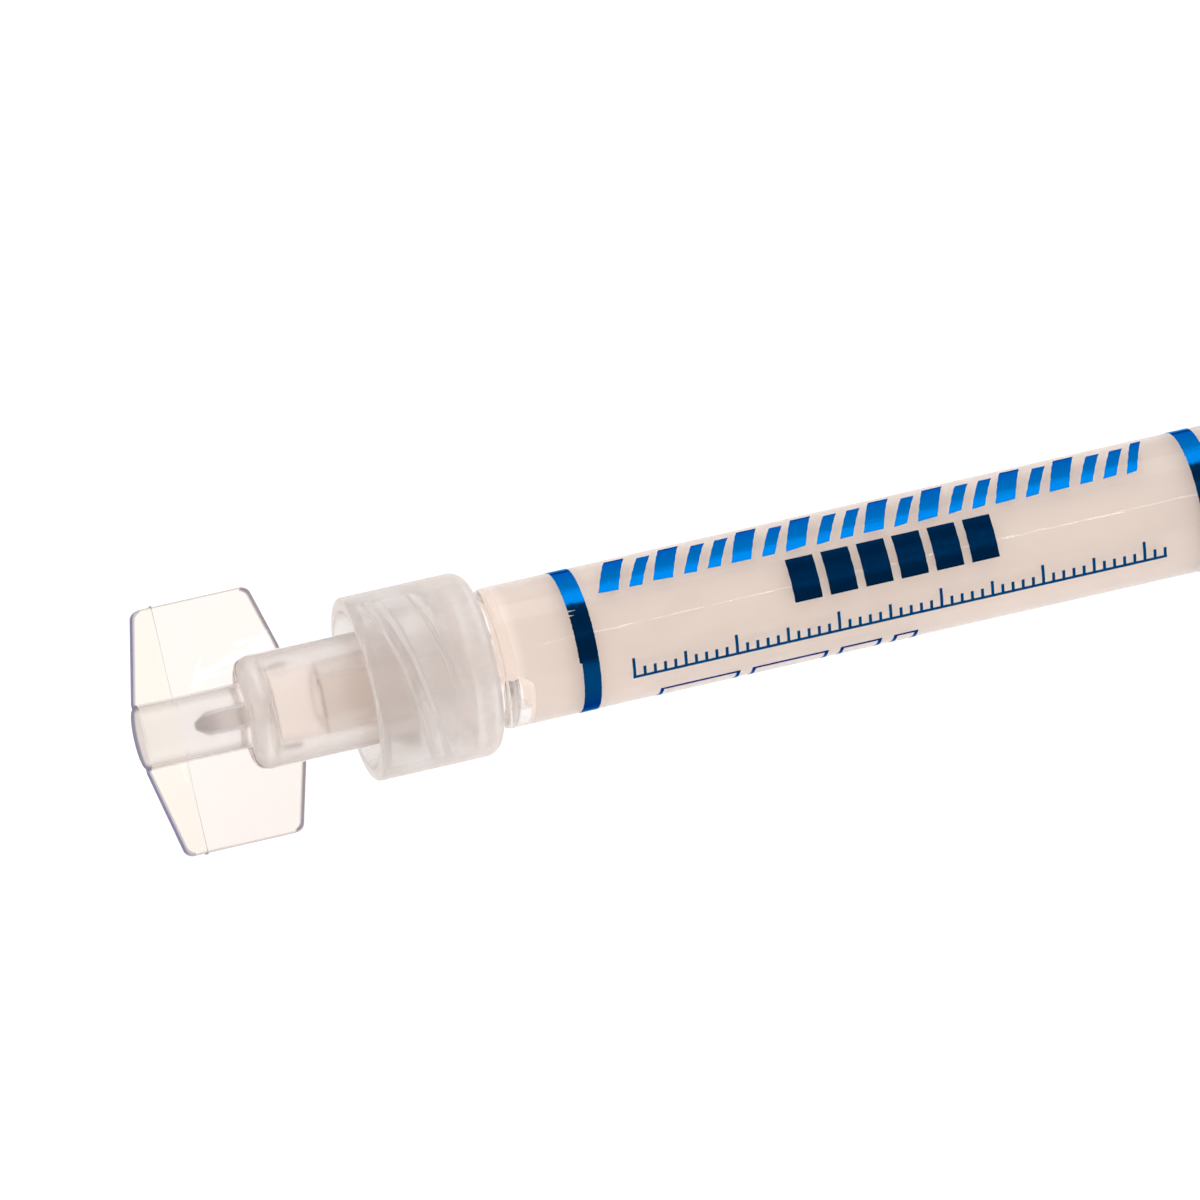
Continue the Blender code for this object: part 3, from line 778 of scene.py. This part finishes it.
def rod_look():
    """Natural polypropylene rod: translucent milk-white, with flow lines and a slight sheen."""
    tree = new_look("rod_plastic_fine")
    flow = tree.noise(scale=520.0, detail=4.0, rough=0.55, stretch=(0.10, 1, 1), distortion=0.4)
    skin = tree.noise(scale=3300.0, rough=0.6)
    base = tree.ramp(flow, [(0.25, (0.58, 0.555, 0.525)), (0.75, (0.66, 0.635, 0.605))])
    # painted shade: the rod is darker on the sides that turn away from the view
    side = tree.facing().step(0.30, 0.95) * 0.55
    solid = tree.principled(
        {
            "Base Color": tree.colour_mix(side, base, (0.30, 0.275, 0.255)),
            "Transmission Weight": 0.25,
            "IOR": 1.49,
            "Roughness": skin.madd(0.14, 0.24),
            "Normal": tree.bump(skin.madd(0.25, flow), strength=0.16, distance=0.00008),
        }
    )
    tree.surface(tree.mix(0.18, solid, tree.closure("BsdfTranslucent", (0.70, 0.67, 0.635))))
    return tree.owner


# ---------------------------------------------------------------- the barrel


def luer_r(x):
    return LUER_TIP_R + (x - TIP_X) * LUER_SLOPE


def helix_x(turn):
    """Where a lock helix is, turn degrees past its lug."""
    return LUG_X + turn / 360.0 * LEAD


def thread(x, radius, angle):
    """Two right-handed lock ridges inside the collar, flat-crested, fading in at the mouth."""
    inside = (x > 0.3) & (x < 5.6) & (radius > 3.4) & (radius < 4.5)
    phase = (x - helix_x(np.degrees(angle) - LUG_ANGLE) - LEAD / 4) / (LEAD / 2)
    off = (phase - np.round(phase)) * LEAD / 2
    centre = x - off
    crest = 1.0 - smooth01((np.abs(off) - 0.16) / 0.42)
    height = 0.57 * crest * smooth01((centre - 0.75) / 0.7)
    return np.where(inside, radius - height, radius)


def flange_outline(angle):
    """The finger flange's radius: a circle with two flats, blended by a high power."""
    flat = FLANGE_WIDE / np.maximum(np.abs(np.sin(angle)), 1e-3)
    return (FLANGE_LONG**-28.0 + flat**-28.0) ** (-1 / 28.0)


def barrel_shape(x, radius, angle):
    radius = thread(x, radius, angle)
    root = TUBE_R + 0.3
    out = flange_outline(angle)
    share = np.clip((radius - root) / (FLANGE_LONG - root), 0, 1)
    flange = (x > 61.0) & (radius > root)
    rim = radius > FLANGE_LONG - 0.5
    wide = np.where(rim, out - (FLANGE_LONG - radius), root + share * (out - root))
    return x, np.where(flange, wide, radius)


def make_barrel(look):
    # x, radius, rounding: out over the tip, collar and tube to the flange, back along the bore
    corners = [
        (TIP_X, TIP_BORE_R, 0.12),
        (TIP_X, luer_r(TIP_X), 0.22),
        (5.5, luer_r(5.5), 0.3),
        (5.5, COLLAR_BORE_R, 0.35),
        (0.4, COLLAR_BORE_R, 0.3),
        (-0.25, 4.45, 0.1),
        (-0.25, COLLAR_R, 0.22),
        (6.9, COLLAR_R, 0.95),
        (6.9, 3.3, 0.15),
        (7.4, 3.3, 0.12),
        (7.4, TUBE_R, 0.65),
        (FLANGE_X, TUBE_R, 0.35),
        (FLANGE_X, FLANGE_LONG, 0.3),
        (FLANGE_END_X, FLANGE_LONG, 0.3),
        (FLANGE_END_X, TUBE_R, 0.12),
        (BARREL_END_X, TUBE_R, 0.1),
        (BARREL_END_X, BORE_R + 0.15, 0.08),
        (62.6, BORE_R, 0.1),
        (61.35, BORE_R, 0.4),
        (60.9, BORE_R - 0.14, 0.4),
        (60.45, BORE_R, 0.4),
        (8.05, BORE_R, 0.3),
        (7.6, TIP_BORE_R, 0.2),
    ]
    profile = rounded(corners)
    profile = finer(profile, 0.085, zone=lambda x, radius: 0.4 < x < 5.6 and 3.9 < radius < 4.4)
    profile = finer(profile, 0.8, zone=lambda x, radius: -2.7 < x < 5.4 and radius < 2.4)
    profile = finer(profile, 1.4, zone=lambda x, radius: x > 61.2 and radius > 4.3)
    profile = finer(profile, 2.5)
    return lathe("barrel_moulding", profile, look, closed=True, shape=barrel_shape, smooth=40)


# ---------------------------------------------------------------- the cap


def cap_shape(x, radius, angle):
    """Two lock lugs at the hub's mouth, and the parting line's thin witness round the stem."""
    degrees = np.degrees(angle)
    out = radius.copy()
    for lug_angle in (LUG_ANGLE, LUG_ANGLE + 180.0):
        turn = (degrees - lug_angle + 180) % 360 - 180
        along = 1.0 - smooth01((np.abs(x - helix_x(turn)) - 0.20) / 0.30)
        across = 1.0 - smooth01((np.abs(turn) - 19.0) / 8.0)
        out = np.where((radius > 2.9) & (x > 0.6), out + 0.75 * along * across, out)
    camera_side = np.cos(angle - math.radians(TOWARDS_CAMERA)) > 0
    witness = np.exp(-(((x - PART_X) / 0.03) ** 2)) * 0.024 * camera_side
    return x, np.where(radius > 1.5, out + witness, out)


def make_wing(name, turn):
    # x, distance from the axis, rounding
    corners = [
        (-12.62, 1.15, 0),
        (-12.62, 1.95, 0.25),
        (WING_FRONT_X, WING_REACH, WING_ROUND),
        (WING_REAR_X, WING_REACH, WING_ROUND),
        (-3.95, 3.2, 0.12),
        (-3.95, 2.6, 0),
        (-5.9, 2.6, 0),
        (-6.5, 1.15, 0),
    ]
    wing = prism(name, rounded(corners, per_turn=64), half=1.0)
    mesh = wing.data
    cut_rows(mesh, [PART_X])
    # draft: the plate is thickest at the parting line and thins towards both ends
    for vert in mesh.vertices:
        x = vert.co.x / MM
        if x < PART_X:
            half = 0.60 - 0.13 * (PART_X - x) / (PART_X - CAP_X)
        else:
            half = 0.60 - 0.16 * (x - PART_X) / (-4.0 - PART_X)
        vert.co.z = math.copysign(half * MM, vert.co.z)
    with editing(mesh) as shape:
        rims = [
            edge
            for edge in shape.edges
            if len(edge.link_faces) == 2
            and edge.calc_face_angle() > math.radians(50)
            and abs(abs(edge.link_faces[0].normal.z) - abs(edge.link_faces[1].normal.z)) > 0.5
            and max(v.co.y for v in edge.verts) > 1.9 * MM
        ]
        bmesh.ops.bevel(
            shape,
            geom=rims,
            offset=0.13 * MM,
            offset_type="OFFSET",
            segments=4,
            profile=0.5,
            affect="EDGES",
        )
    # the witness of the parting line, and a nub of flash where it reaches the outer edge
    cut_rows(mesh, [PART_X - 0.04, PART_X, PART_X + 0.04])
    camera_angle = math.radians(TOWARDS_CAMERA - turn)
    with editing(mesh) as shape:
        shape.normal_update()
        for vert in shape.verts:
            if abs(vert.co.x - PART_X * MM) >= 1e-7:
                continue
            normal = Vector((0.0, vert.normal.y, vert.normal.z)).normalized()
            side = normal.y * math.cos(camera_angle) + normal.z * math.sin(camera_angle)
            witness = 0.022 if side > 0.05 else 0.0
            nub = 0.07 if vert.co.y > 6.8 * MM else 0.0
            vert.co += normal * (witness + nub) * MM
    outward(mesh)
    turned = Matrix.Rotation(math.radians(turn), 4, "X")
    mesh.transform(Matrix.Translation((MOUTH, 0, 0)) @ turned)
    return wing


def make_cap(look):
    floor_r = SOCKET_MOUTH_R - (CAP_MOUTH_X - SOCKET_FLOOR_X) * LUER_SLOPE
    witness_rows = (-0.09, -0.05, -0.025, 0.0, 0.025, 0.05, 0.09)
    # x, radius, rounding: over the stem and hub to the mouth, then in to the blind core hole
    corners = [
        (CAP_X, 0.0, 0),
        (CAP_X, STEM_R, 0.3),
        *[(PART_X + offset, STEM_R, 0) for offset in witness_rows],
        (HUB_X, STEM_R, 0.3),
        (HUB_X, HUB_R, 0.95),
        (CAP_MOUTH_X, HUB_R, 0.15),
        (CAP_MOUTH_X, SOCKET_MOUTH_R, 0.12),
        (SOCKET_FLOOR_X, floor_r, 0.35),
        (SOCKET_FLOOR_X, 0.52, 0.15),
        (-8.9, 0.44, 0.5),
        (-9.6, 0.14, 0.12),
        (-9.6, 0.0, 0),
    ]
    profile = rounded(corners, closed=False)
    profile = finer(profile, 0.06, False, zone=lambda x, radius: x > 0.6 and radius > 3.0)
    profile = finer(profile, 1.6, False)
    cap = lathe("tip_cap", profile, look, shape=cap_shape, segments=192, smooth=40)
    return fuse(cap, [make_wing(f"wing_{k}", CAP_TURN + 180.0 * k) for k in range(2)], look)


# ---------------------------------------------------------------- contents and rod


def make_gel(look):
    """The gel column.

    Its points are only near its two ends, so it can follow the barrel in front and the
    stopper behind.
    """
    radius = BORE_R - 0.012
    # x, radius
    profile = [
        (7.65, 0.0), (7.65, 0.5), (7.65, 1.0), (7.75, 1.5), (7.86, 2.0), (7.97, 2.5),
        (8.02, 2.8), (8.10, radius), (8.9, radius),
        (49.93, radius), (49.93, radius - 0.02), (49.46, 1.0), (49.46, 0.0),
    ]

    def pocket(x, radius, angle):
        """Draws the front end back at the air pocket."""
        low = radius * np.cos(angle - math.radians(POCKET_ANGLE))
        moved = np.where(x < 8.5, x + 0.95 * smooth01((low - 1.0) / 0.75), x)
        side = (x >= 8.5) & (x < 9.0)
        return np.where(side, x + 0.22 * smooth01((low - 0.8) / 0.8), moved), radius

    return lathe("gel_fill", profile, look, shape=pocket, segments=192)


def make_gel_core(look):
    """The thread of gel in the tip's bore."""
    corners = [(-2.48, 0.0, 0), (-2.48, 1.0, 0.35), (7.52, 1.0, 0.05), (7.52, 0.0, 0)]
    profile = finer(rounded(corners, closed=False), 1.0, False)
    return lathe("gel_core", profile, look, segments=96)


def make_stopper(look):
    front, end = STOPPER_X, STOPPER_END_X
    # x, radius, rounding: the conical front, three seal ribs, then the socket for the rod
    corners = [
        (front, 0.0, 0),
        (front, 1.0, 0.15),
        (front + 0.45, 2.9, 0.05),
        (front + 0.62, SEAL_R, 0.12),
        (front + 1.15, SEAL_R, 0.18),
        (front + 1.45, WAIST_R, 0.18),
        (front + 2.35, WAIST_R, 0.18),
        (front + 2.65, SEAL_R, 0.18),
        (front + 3.1, SEAL_R, 0.18),
        (front + 3.4, WAIST_R, 0.18),
        (front + 4.45, WAIST_R, 0.18),
        (front + 4.75, SEAL_R, 0.18),
        (end, SEAL_R, 0.25),
        (end, 1.25, 0.15),
        (end - 0.9, 1.25, 0.12),
        (end - 0.95, 1.75, 0.12),
        (front + 2.6, 1.75, 0.5),
        (front + 2.45, 0.0, 0),
    ]
    profile = finer(rounded(corners, closed=False), 0.5, False)
    return lathe("seal_stopper", profile, look, segments=160)


def make_rod(look):
    """The push rod: a turned core and discs, with two crossed plates along it."""
    end = STOPPER_END_X
    groove_x = DISC_END_X - 0.08  # the floor of the shallow grooves in the thumb disc's face
    # x, radius, rounding
    corners = [
        (ROD_X, 0.0, 0),
        (ROD_X, 1.0, 0.15),
        (ROD_X + 0.7, 1.61, 0.2),
        (end - 1.1, 1.61, 0.15),
        (end - 1.1, 1.13, 0.08),
        (end + 0.12, 1.13, 0.1),
        (end + 0.12, 2.75, 0.2),
        (end + 1.1, 2.75, 0.2),
        (end + 1.1, 1.3, 0.25),
        (59.3, ROD_R, 0.25),
        (59.3, 2.75, 0.2),
        (60.1, 2.75, 0.2),
        (60.1, ROD_R, 0.25),
        (109.3, ROD_R, 0.6),
        (109.3, 2.85, 0.1),
        (110.5, 3.6, 0.5),
        (110.5, 5.8, 0.45),
        (DISC_END_X, 5.8, 0.55),
        (DISC_END_X, 4.75, 0.05),
        (groove_x, 4.67, 0.05),
        (groove_x, 3.95, 0.05),
        (DISC_END_X, 3.87, 0.05),
        (DISC_END_X, 3.15, 0.05),
        (groove_x, 3.07, 0.05),
        (groove_x, 2.35, 0.05),
        (DISC_END_X, 2.27, 0.05),
        (DISC_END_X, 0.0, 0),
    ]
    profile = finer(rounded(corners, closed=False), 2.0, False)
    rod = lathe("push_rod", profile, look, segments=128)
    start = end + 0.6
    length = 109.9 - start
    half = 2.7
    corners = [(0.0, -half, 0.25), (length, -half, 0.25), (length, half, 0.25), (0.0, half, 0.25)]
    ribs = []
    for k in range(2):
        rib = prism(f"rib_{k}", rounded(corners, per_turn=24), half=0.475, bevel=0.16)
        outward(rib.data)
        turned = Matrix.Rotation(math.pi / 2 * k, 4, "X")
        rib.data.transform(Matrix.Translation((at_x(start), 0, 0)) @ turned)
        ribs.append(rib)
    return fuse(rod, ribs, look)


# ---------------------------------------------------------------- foil print

FOIL_LIFT, FOIL_THICK = 0.003, 0.018
SCALE_ANGLE = 180.0
SCALE_LINE, FRAME_LINE = 0.18, 0.2  # line widths


def half_turn(width):
    """Half of a width round the tube, in degrees."""
    return math.degrees(width / 2 / TUBE_R)


def wave(value, seed):
    """A fixed, uneven wave between about -1 and 1."""
    return (
        math.sin(value * 1.7 + seed)
        + 0.7 * math.sin(value * 4.3 + 2.1 * seed)
        + 0.5 * math.sin(value * 9.1 + 0.7 * seed)
        + 0.35 * math.sin(value * 23.0 + 3.3 * seed)
    ) / 2.2


class Foil:
    """Thin closed patches that follow the tube, each given by edges in (x mm, degrees round)."""

    def __init__(self, name):
        self.name = name
        self.verts, self.faces = [], []

    def sheet(self, left, right):
        """A closed sheet between two edges, each a list of (x, degrees) of the same length."""
        count = len(left)
        base = len(self.verts)
        low = TUBE_R + FOIL_LIFT
        across = 3
        for (left_x, left_turn), (right_x, right_turn) in zip(left, right):
            for radius in (low, low + FOIL_THICK):
                for k in range(across + 1):
                    share = k / across
                    x = left_x + (right_x - left_x) * share
                    turn = left_turn + (right_turn - left_turn) * share
                    self.verts.append(round_axis(x, radius, math.radians(turn)))
        width = across + 1

        def at(i, level, k):
            return base + (i * 2 + level) * width + k

        for i in range(count - 1):
            n = i + 1
            for k in range(across):
                self.faces.append((at(i, 1, k), at(i, 1, k + 1), at(n, 1, k + 1), at(n, 1, k)))
                self.faces.append((at(i, 0, k), at(n, 0, k), at(n, 0, k + 1), at(i, 0, k + 1)))
            self.faces.append((at(i, 0, 0), at(i, 1, 0), at(n, 1, 0), at(n, 0, 0)))
            self.faces.append(
                (at(i, 0, across), at(n, 0, across), at(n, 1, across), at(i, 1, across))
            )
        for i, flip in ((0, False), (count - 1, True)):
            for k in range(across):
                face = (at(i, 0, k), at(i, 0, k + 1), at(i, 1, k + 1), at(i, 1, k))
                self.faces.append(face[::-1] if flip else face)

    def bar(self, x, width, start, end, rag=0.0, slant=0.0, seed=0.0, rag_end=0.0, step=1.6):
        """A bar from start to end degrees, leaning by slant mm, with ragged sides and end."""
        count = max(3, int(abs(end - start) / step) + 1)
        left, right = [], []
        for i in range(count):
            share = i / (count - 1)
            turn = start + (end - start) * share
            lean = slant * (share - 0.5)
            left.append((x + lean + rag * wave(turn * 0.35, seed), turn))
            right.append((x + width + lean + rag * wave(turn * 0.35, seed + 5.0), turn))
        for edge in (left, right):
            last_x, turn = edge[-1]
            edge[-1] = (last_x, turn + rag_end * wave(last_x * 2.0, seed + 9.0))
        self.sheet(left, right)

    def line(self, start_x, end_x, turn, width):
        """A line along the tube, width mm wide."""
        half = half_turn(width)
        count = max(2, int(abs(end_x - start_x)) + 1)
        places = [start_x + (end_x - start_x) * (i / (count - 1)) for i in range(count)]
        self.sheet([(x, turn + half) for x in places], [(x, turn - half) for x in places])

    def build(self, look):
        return new_object(self.name, self.verts, self.faces, look, 30)


def make_band(name, start_x, end_x, look, seed, breaks):
    """A foil band round the tube, with a seam, ragged sides and gaps where the stamp skipped.

    Each break is (start degrees, end degrees, side it cuts into, share of the width it takes).
    """
    foil = Foil(name)
    start, end = -40.0, 314.0
    count = int((end - start) / 0.8)
    left, right = [], []
    for i in range(count + 1):
        turn = start + (end - start) * i / count
        rag = 0.014 + 0.030 * max(0.0, wave(turn * 0.05, seed + 2))
        jog = 0.13 * float(smooth01(turn - 156.0))
        left.append((start_x + rag * wave(turn * 0.8, seed) + jog, turn))
        right.append((end_x + rag * wave(turn * 0.8, seed + 4), turn))
    for break_start, break_end, side, share in breaks:
        for i, (x, turn) in enumerate(left):
            if break_start < turn < break_end:
                cut = (right[i][0] - x) * share
                if side == "left":
                    left[i] = (x + cut, turn)
                else:
                    right[i] = (right[i][0] - cut, turn)
    foil.sheet(left, right)
    return foil.build(look)


def make_wide_row(look):
    """A row of slanted bars in two heights, which fills the print's widest row."""
    foil = Foil("print_slanted_bars")
    # width, start degrees
    pattern = [(1.15, 63.0), (0.75, 70.0), (1.15, 63.0), (0.75, 70.0), (0.75, 70.0)]
    x, k = 14.05, 0
    while x < 44.9:
        width, start = pattern[k % 5]
        if x >= 44.3:
            width = 0.6
        foil.bar(x, width, start, 103.0, rag=0.018, slant=-1.1, seed=k * 1.3, rag_end=1.2)
        x += width + 0.62
        k += 1
    return foil.build(look)


def make_short_row(look):
    """Six plain blocks."""
    foil = Foil("print_blocks")
    for k in range(6):
        foil.bar(24.05 + k * 2.05, 1.58, 111.0, 147.0, rag=0.014, seed=k * 2.1)
    return foil.build(look)


def make_scale_row(look):
    """A plain scale without numbers: a line with short and long ticks."""
    foil = Foil("print_scale")
    foil.line(14.45, 45.4, SCALE_ANGLE, SCALE_LINE)
    for k in range(53):
        x = 14.54 + k * 0.5915
        start = 162.0 if k % 10 == 0 else (166.0 if k % 5 == 0 else 171.0)
        foil.bar(x - 0.085, 0.17, start, SCALE_ANGLE - half_turn(SCALE_LINE), step=3.0)
    return foil.build(look)


def make_under_row(look):
    """Plain frames low on the tube."""
    foil = Foil("print_frames")
    x = 16.1
    for length in (4.6, 4.4, 2.4, 1.4):
        for turn in (205.0, 233.0):
            foil.line(x, x + length, turn, FRAME_LINE)
        for edge in (x, x + length - FRAME_LINE):
            foil.bar(edge, FRAME_LINE, 206.4, 231.6, step=3.0)
        x += length + 0.7
    return foil.build(look)


# ---------------------------------------------------------------- build

barrel_plastic = barrel_look()
cap_plastic = cap_look()
gel_fine = gel_look("gel_fine", cloudiness=0.88)
gel_thin = gel_look("gel_core_fine", cloudiness=0.05)
foil_fine = foil_look()
rubber_fine = rubber_look()
rod_fine = rod_look()

FRONT_BREAKS = [
    (112.4, 113.0, "left", 0.45),
    (116.6, 117.2, "left", 0.3),
    (108.2, 108.8, "right", 0.22),
]
REAR_BREAKS = [(118.0, 118.6, "right", 0.5), (126.0, 126.5, "left", 0.3)]
front_band = ("foil_ring_front", 11.52, 12.63, foil_fine, 1.0, FRONT_BREAKS)
rear_band = ("foil_ring_rear", 47.62, 48.74, foil_fine, 4.0, REAR_BREAKS)

# object, the body it rides, the CAD piece it replaces, material slot
pieces = [
    (make_barrel(barrel_plastic), "barrel", "barrel", "barrel_plastic"),
    (make_cap(cap_plastic), "cap", "luer_cap", "cap_plastic"),
    (make_gel_core(gel_thin), "tip_gel", "gel_in_tip", "gel"),
    (make_stopper(rubber_fine), "stopper", "stopper", "stopper_rubber"),
    (make_rod(rod_fine), "plunger", "plunger_rod", "rod_plastic"),
    (make_band(*front_band), "barrel", "foil_band_front", "blue_foil"),
    (make_band(*rear_band), "barrel", "foil_band_rear", "blue_foil"),
    (make_wide_row(foil_fine), "barrel", "foil_bar_wide", "blue_foil"),
    (make_short_row(foil_fine), "barrel", "foil_bar_short", "blue_foil"),
    (make_scale_row(foil_fine), "barrel", "foil_scale", "blue_foil"),
    (make_under_row(foil_fine), "barrel", "foil_bar_under", "blue_foil"),
]
for obj, body, replaced, slot in pieces:
    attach(obj, body)
    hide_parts(replaced)

gel = make_gel(gel_fine)
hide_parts("gel_column")
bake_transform(gel)

# ---------------------------------------------------------------- stage, light and camera

FILL = 1.75  # how bright the studio is for light that has been scattered
FLOOR_GLOW = 0.95  # how bright the floor is for all other light
FLOOR_SIZE = 6.0  # metres

# the studio's brightness by direction: 0 degrees is +Y, 90 overhead and 180 -Y
STUDIO = [(0, 1.0), (60, 1.0), (84, 0.92), (100, 0.68), (150, 0.58), (180, 0.66)]

# name, degrees round the axis, x in mm, length in metres, power in watts
STRIPS = [
    ("strip_far", 114.85, 215.0, 0.055, 0.05),
    ("strip_near", 129.9, 165.0, 0.12, 0.03),
]
STRIP_DISTANCE = 0.55  # metres from the axis


def make_floor(level):
    bpy.ops.mesh.primitive_plane_add(size=FLOOR_SIZE, location=(0, 0, level))
    floor = bpy.context.object
    floor.name = "floor"
    tree = new_look("floor_sweep")
    x, y, _ = tree.position()
    away = (x * x + y * y).sqrt() / (FLOOR_SIZE / 2)
    fade = tree.ramp(away, [(0.0, (1, 1, 1)), (0.12, (1, 1, 1)), (0.7, (0.80, 0.80, 0.81))])
    scattered = tree.node("LightPath", output="Diffuse Depth") > 0.5
    strength = scattered.madd(FILL - FLOOR_GLOW, FLOOR_GLOW)
    glow = tree.node("Emission", {"Strength": strength, "Color": fade})
    matt = tree.principled(
        {"Base Color": (0.10, 0.10, 0.10), "Roughness": 0.9, "Specular IOR Level": 0.0}
    )
    tree.surface(tree.add(glow, matt))
    floor.data.materials.append(tree.owner)
    floor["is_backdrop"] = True


def make_world():
    """A studio: a bright sweep behind the object and overhead, and dim air on the camera's side."""
    world = bpy.data.worlds.new("studio")
    bpy.context.scene.world = world
    tree = Tree(world)
    _, y, z = tree.split(tree.generated)
    stops = [(degrees / 180, (value, value, value * 1.01)) for degrees, value in STUDIO]
    sweep = tree.ramp(abs(z.arctan2(y)) / math.pi, stops)
    studio = tree.fill(tree.nodes["Background"], {"Color": sweep})
    seen, depth = tree.node("LightPath", output=("Is Camera Ray", "Diffuse Depth"))
    plain = tree.closure("Background", (0.93, 0.93, 0.94))
    soft = tree.node("Background", {"Color": (1.0, 1.0, 1.0), "Strength": FILL})
    tree.surface(tree.mix(depth > 0.5, tree.mix(seen, studio, plain), soft))


def area(name, place, aim, length, width, power):
    data = bpy.data.lights.new(name, "AREA")
    data.energy = power
    data.shape = "RECTANGLE"
    data.size = length
    data.size_y = width
    lamp = linked(name, data)
    lamp.location = place
    lamp.rotation_mode = "QUATERNION"
    lamp.rotation_quaternion = (aim - place).to_track_quat("-Z", "Y")


def make_lights():
    aim = Vector((at_x(45), 0, 0))
    for name, turn, x, length, power in STRIPS:
        angle = math.radians(turn)
        across = (STRIP_DISTANCE * math.cos(angle), STRIP_DISTANCE * math.sin(angle))
        area(name, Vector((at_x(x), *across)), aim, length, width=0.010, power=power)
    centre = Vector((at_x(20), 0, 0))
    above = centre + Vector((0.0, 0.35, 0.8))
    area("top_soft", above, centre, length=0.7, width=0.5, power=1.0)


def make_camera():
    """A long lens, leaning towards the tip and rolled so that the syringe lies aslant."""
    lean, roll = math.radians(11.5), math.radians(12.78)
    turn = math.radians(TOWARDS_CAMERA)
    view_width = 0.06593  # metres across the view at the syringe
    shift_right, shift_up = 13.13 * MM, 4.885 * MM  # from the collar's mouth to the view's centre
    back = Vector(
        (-math.sin(lean), math.cos(lean) * math.cos(turn), math.cos(lean) * math.sin(turn))
    )
    along = (Vector((1, 0, 0)) - back * back.x).normalized()
    across = back.cross(along)
    right = math.cos(roll) * along - math.sin(roll) * across
    up = math.sin(roll) * along + math.cos(roll) * across
    data = bpy.data.cameras.new("camera")
    camera = linked("camera", data)
    data.sensor_width = 36.0
    data.lens = 400.0
    distance = view_width * 400.0 / 36.0
    camera.rotation_mode = "QUATERNION"
    camera.rotation_quaternion = Matrix((right, up, back)).transposed().to_quaternion()
    centre = Vector((MOUTH, 0, 0)) + right * shift_right + up * shift_up
    camera.location = centre + back * distance
    data.clip_start, data.clip_end = 0.01, 20.0
    bpy.context.scene.camera = camera


graph = bpy.context.evaluated_depsgraph_get()
lowest = min(
    (obj.evaluated_get(graph).matrix_world @ Vector(corner)).z
    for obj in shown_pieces()
    for corner in obj.bound_box
)
make_floor(lowest - 0.00002)
make_world()
make_lights()
make_camera()

scene = bpy.context.scene
scene.view_settings.view_transform = "Standard"
scene.cycles.max_bounces = 28
scene.cycles.transmission_bounces = 28
scene.cycles.transparent_max_bounces = 32
scene.cycles.glossy_bounces = 8
scene.cycles.diffuse_bounces = 4
scene.cycles.caustics_reflective = True
scene.cycles.caustics_refractive = True
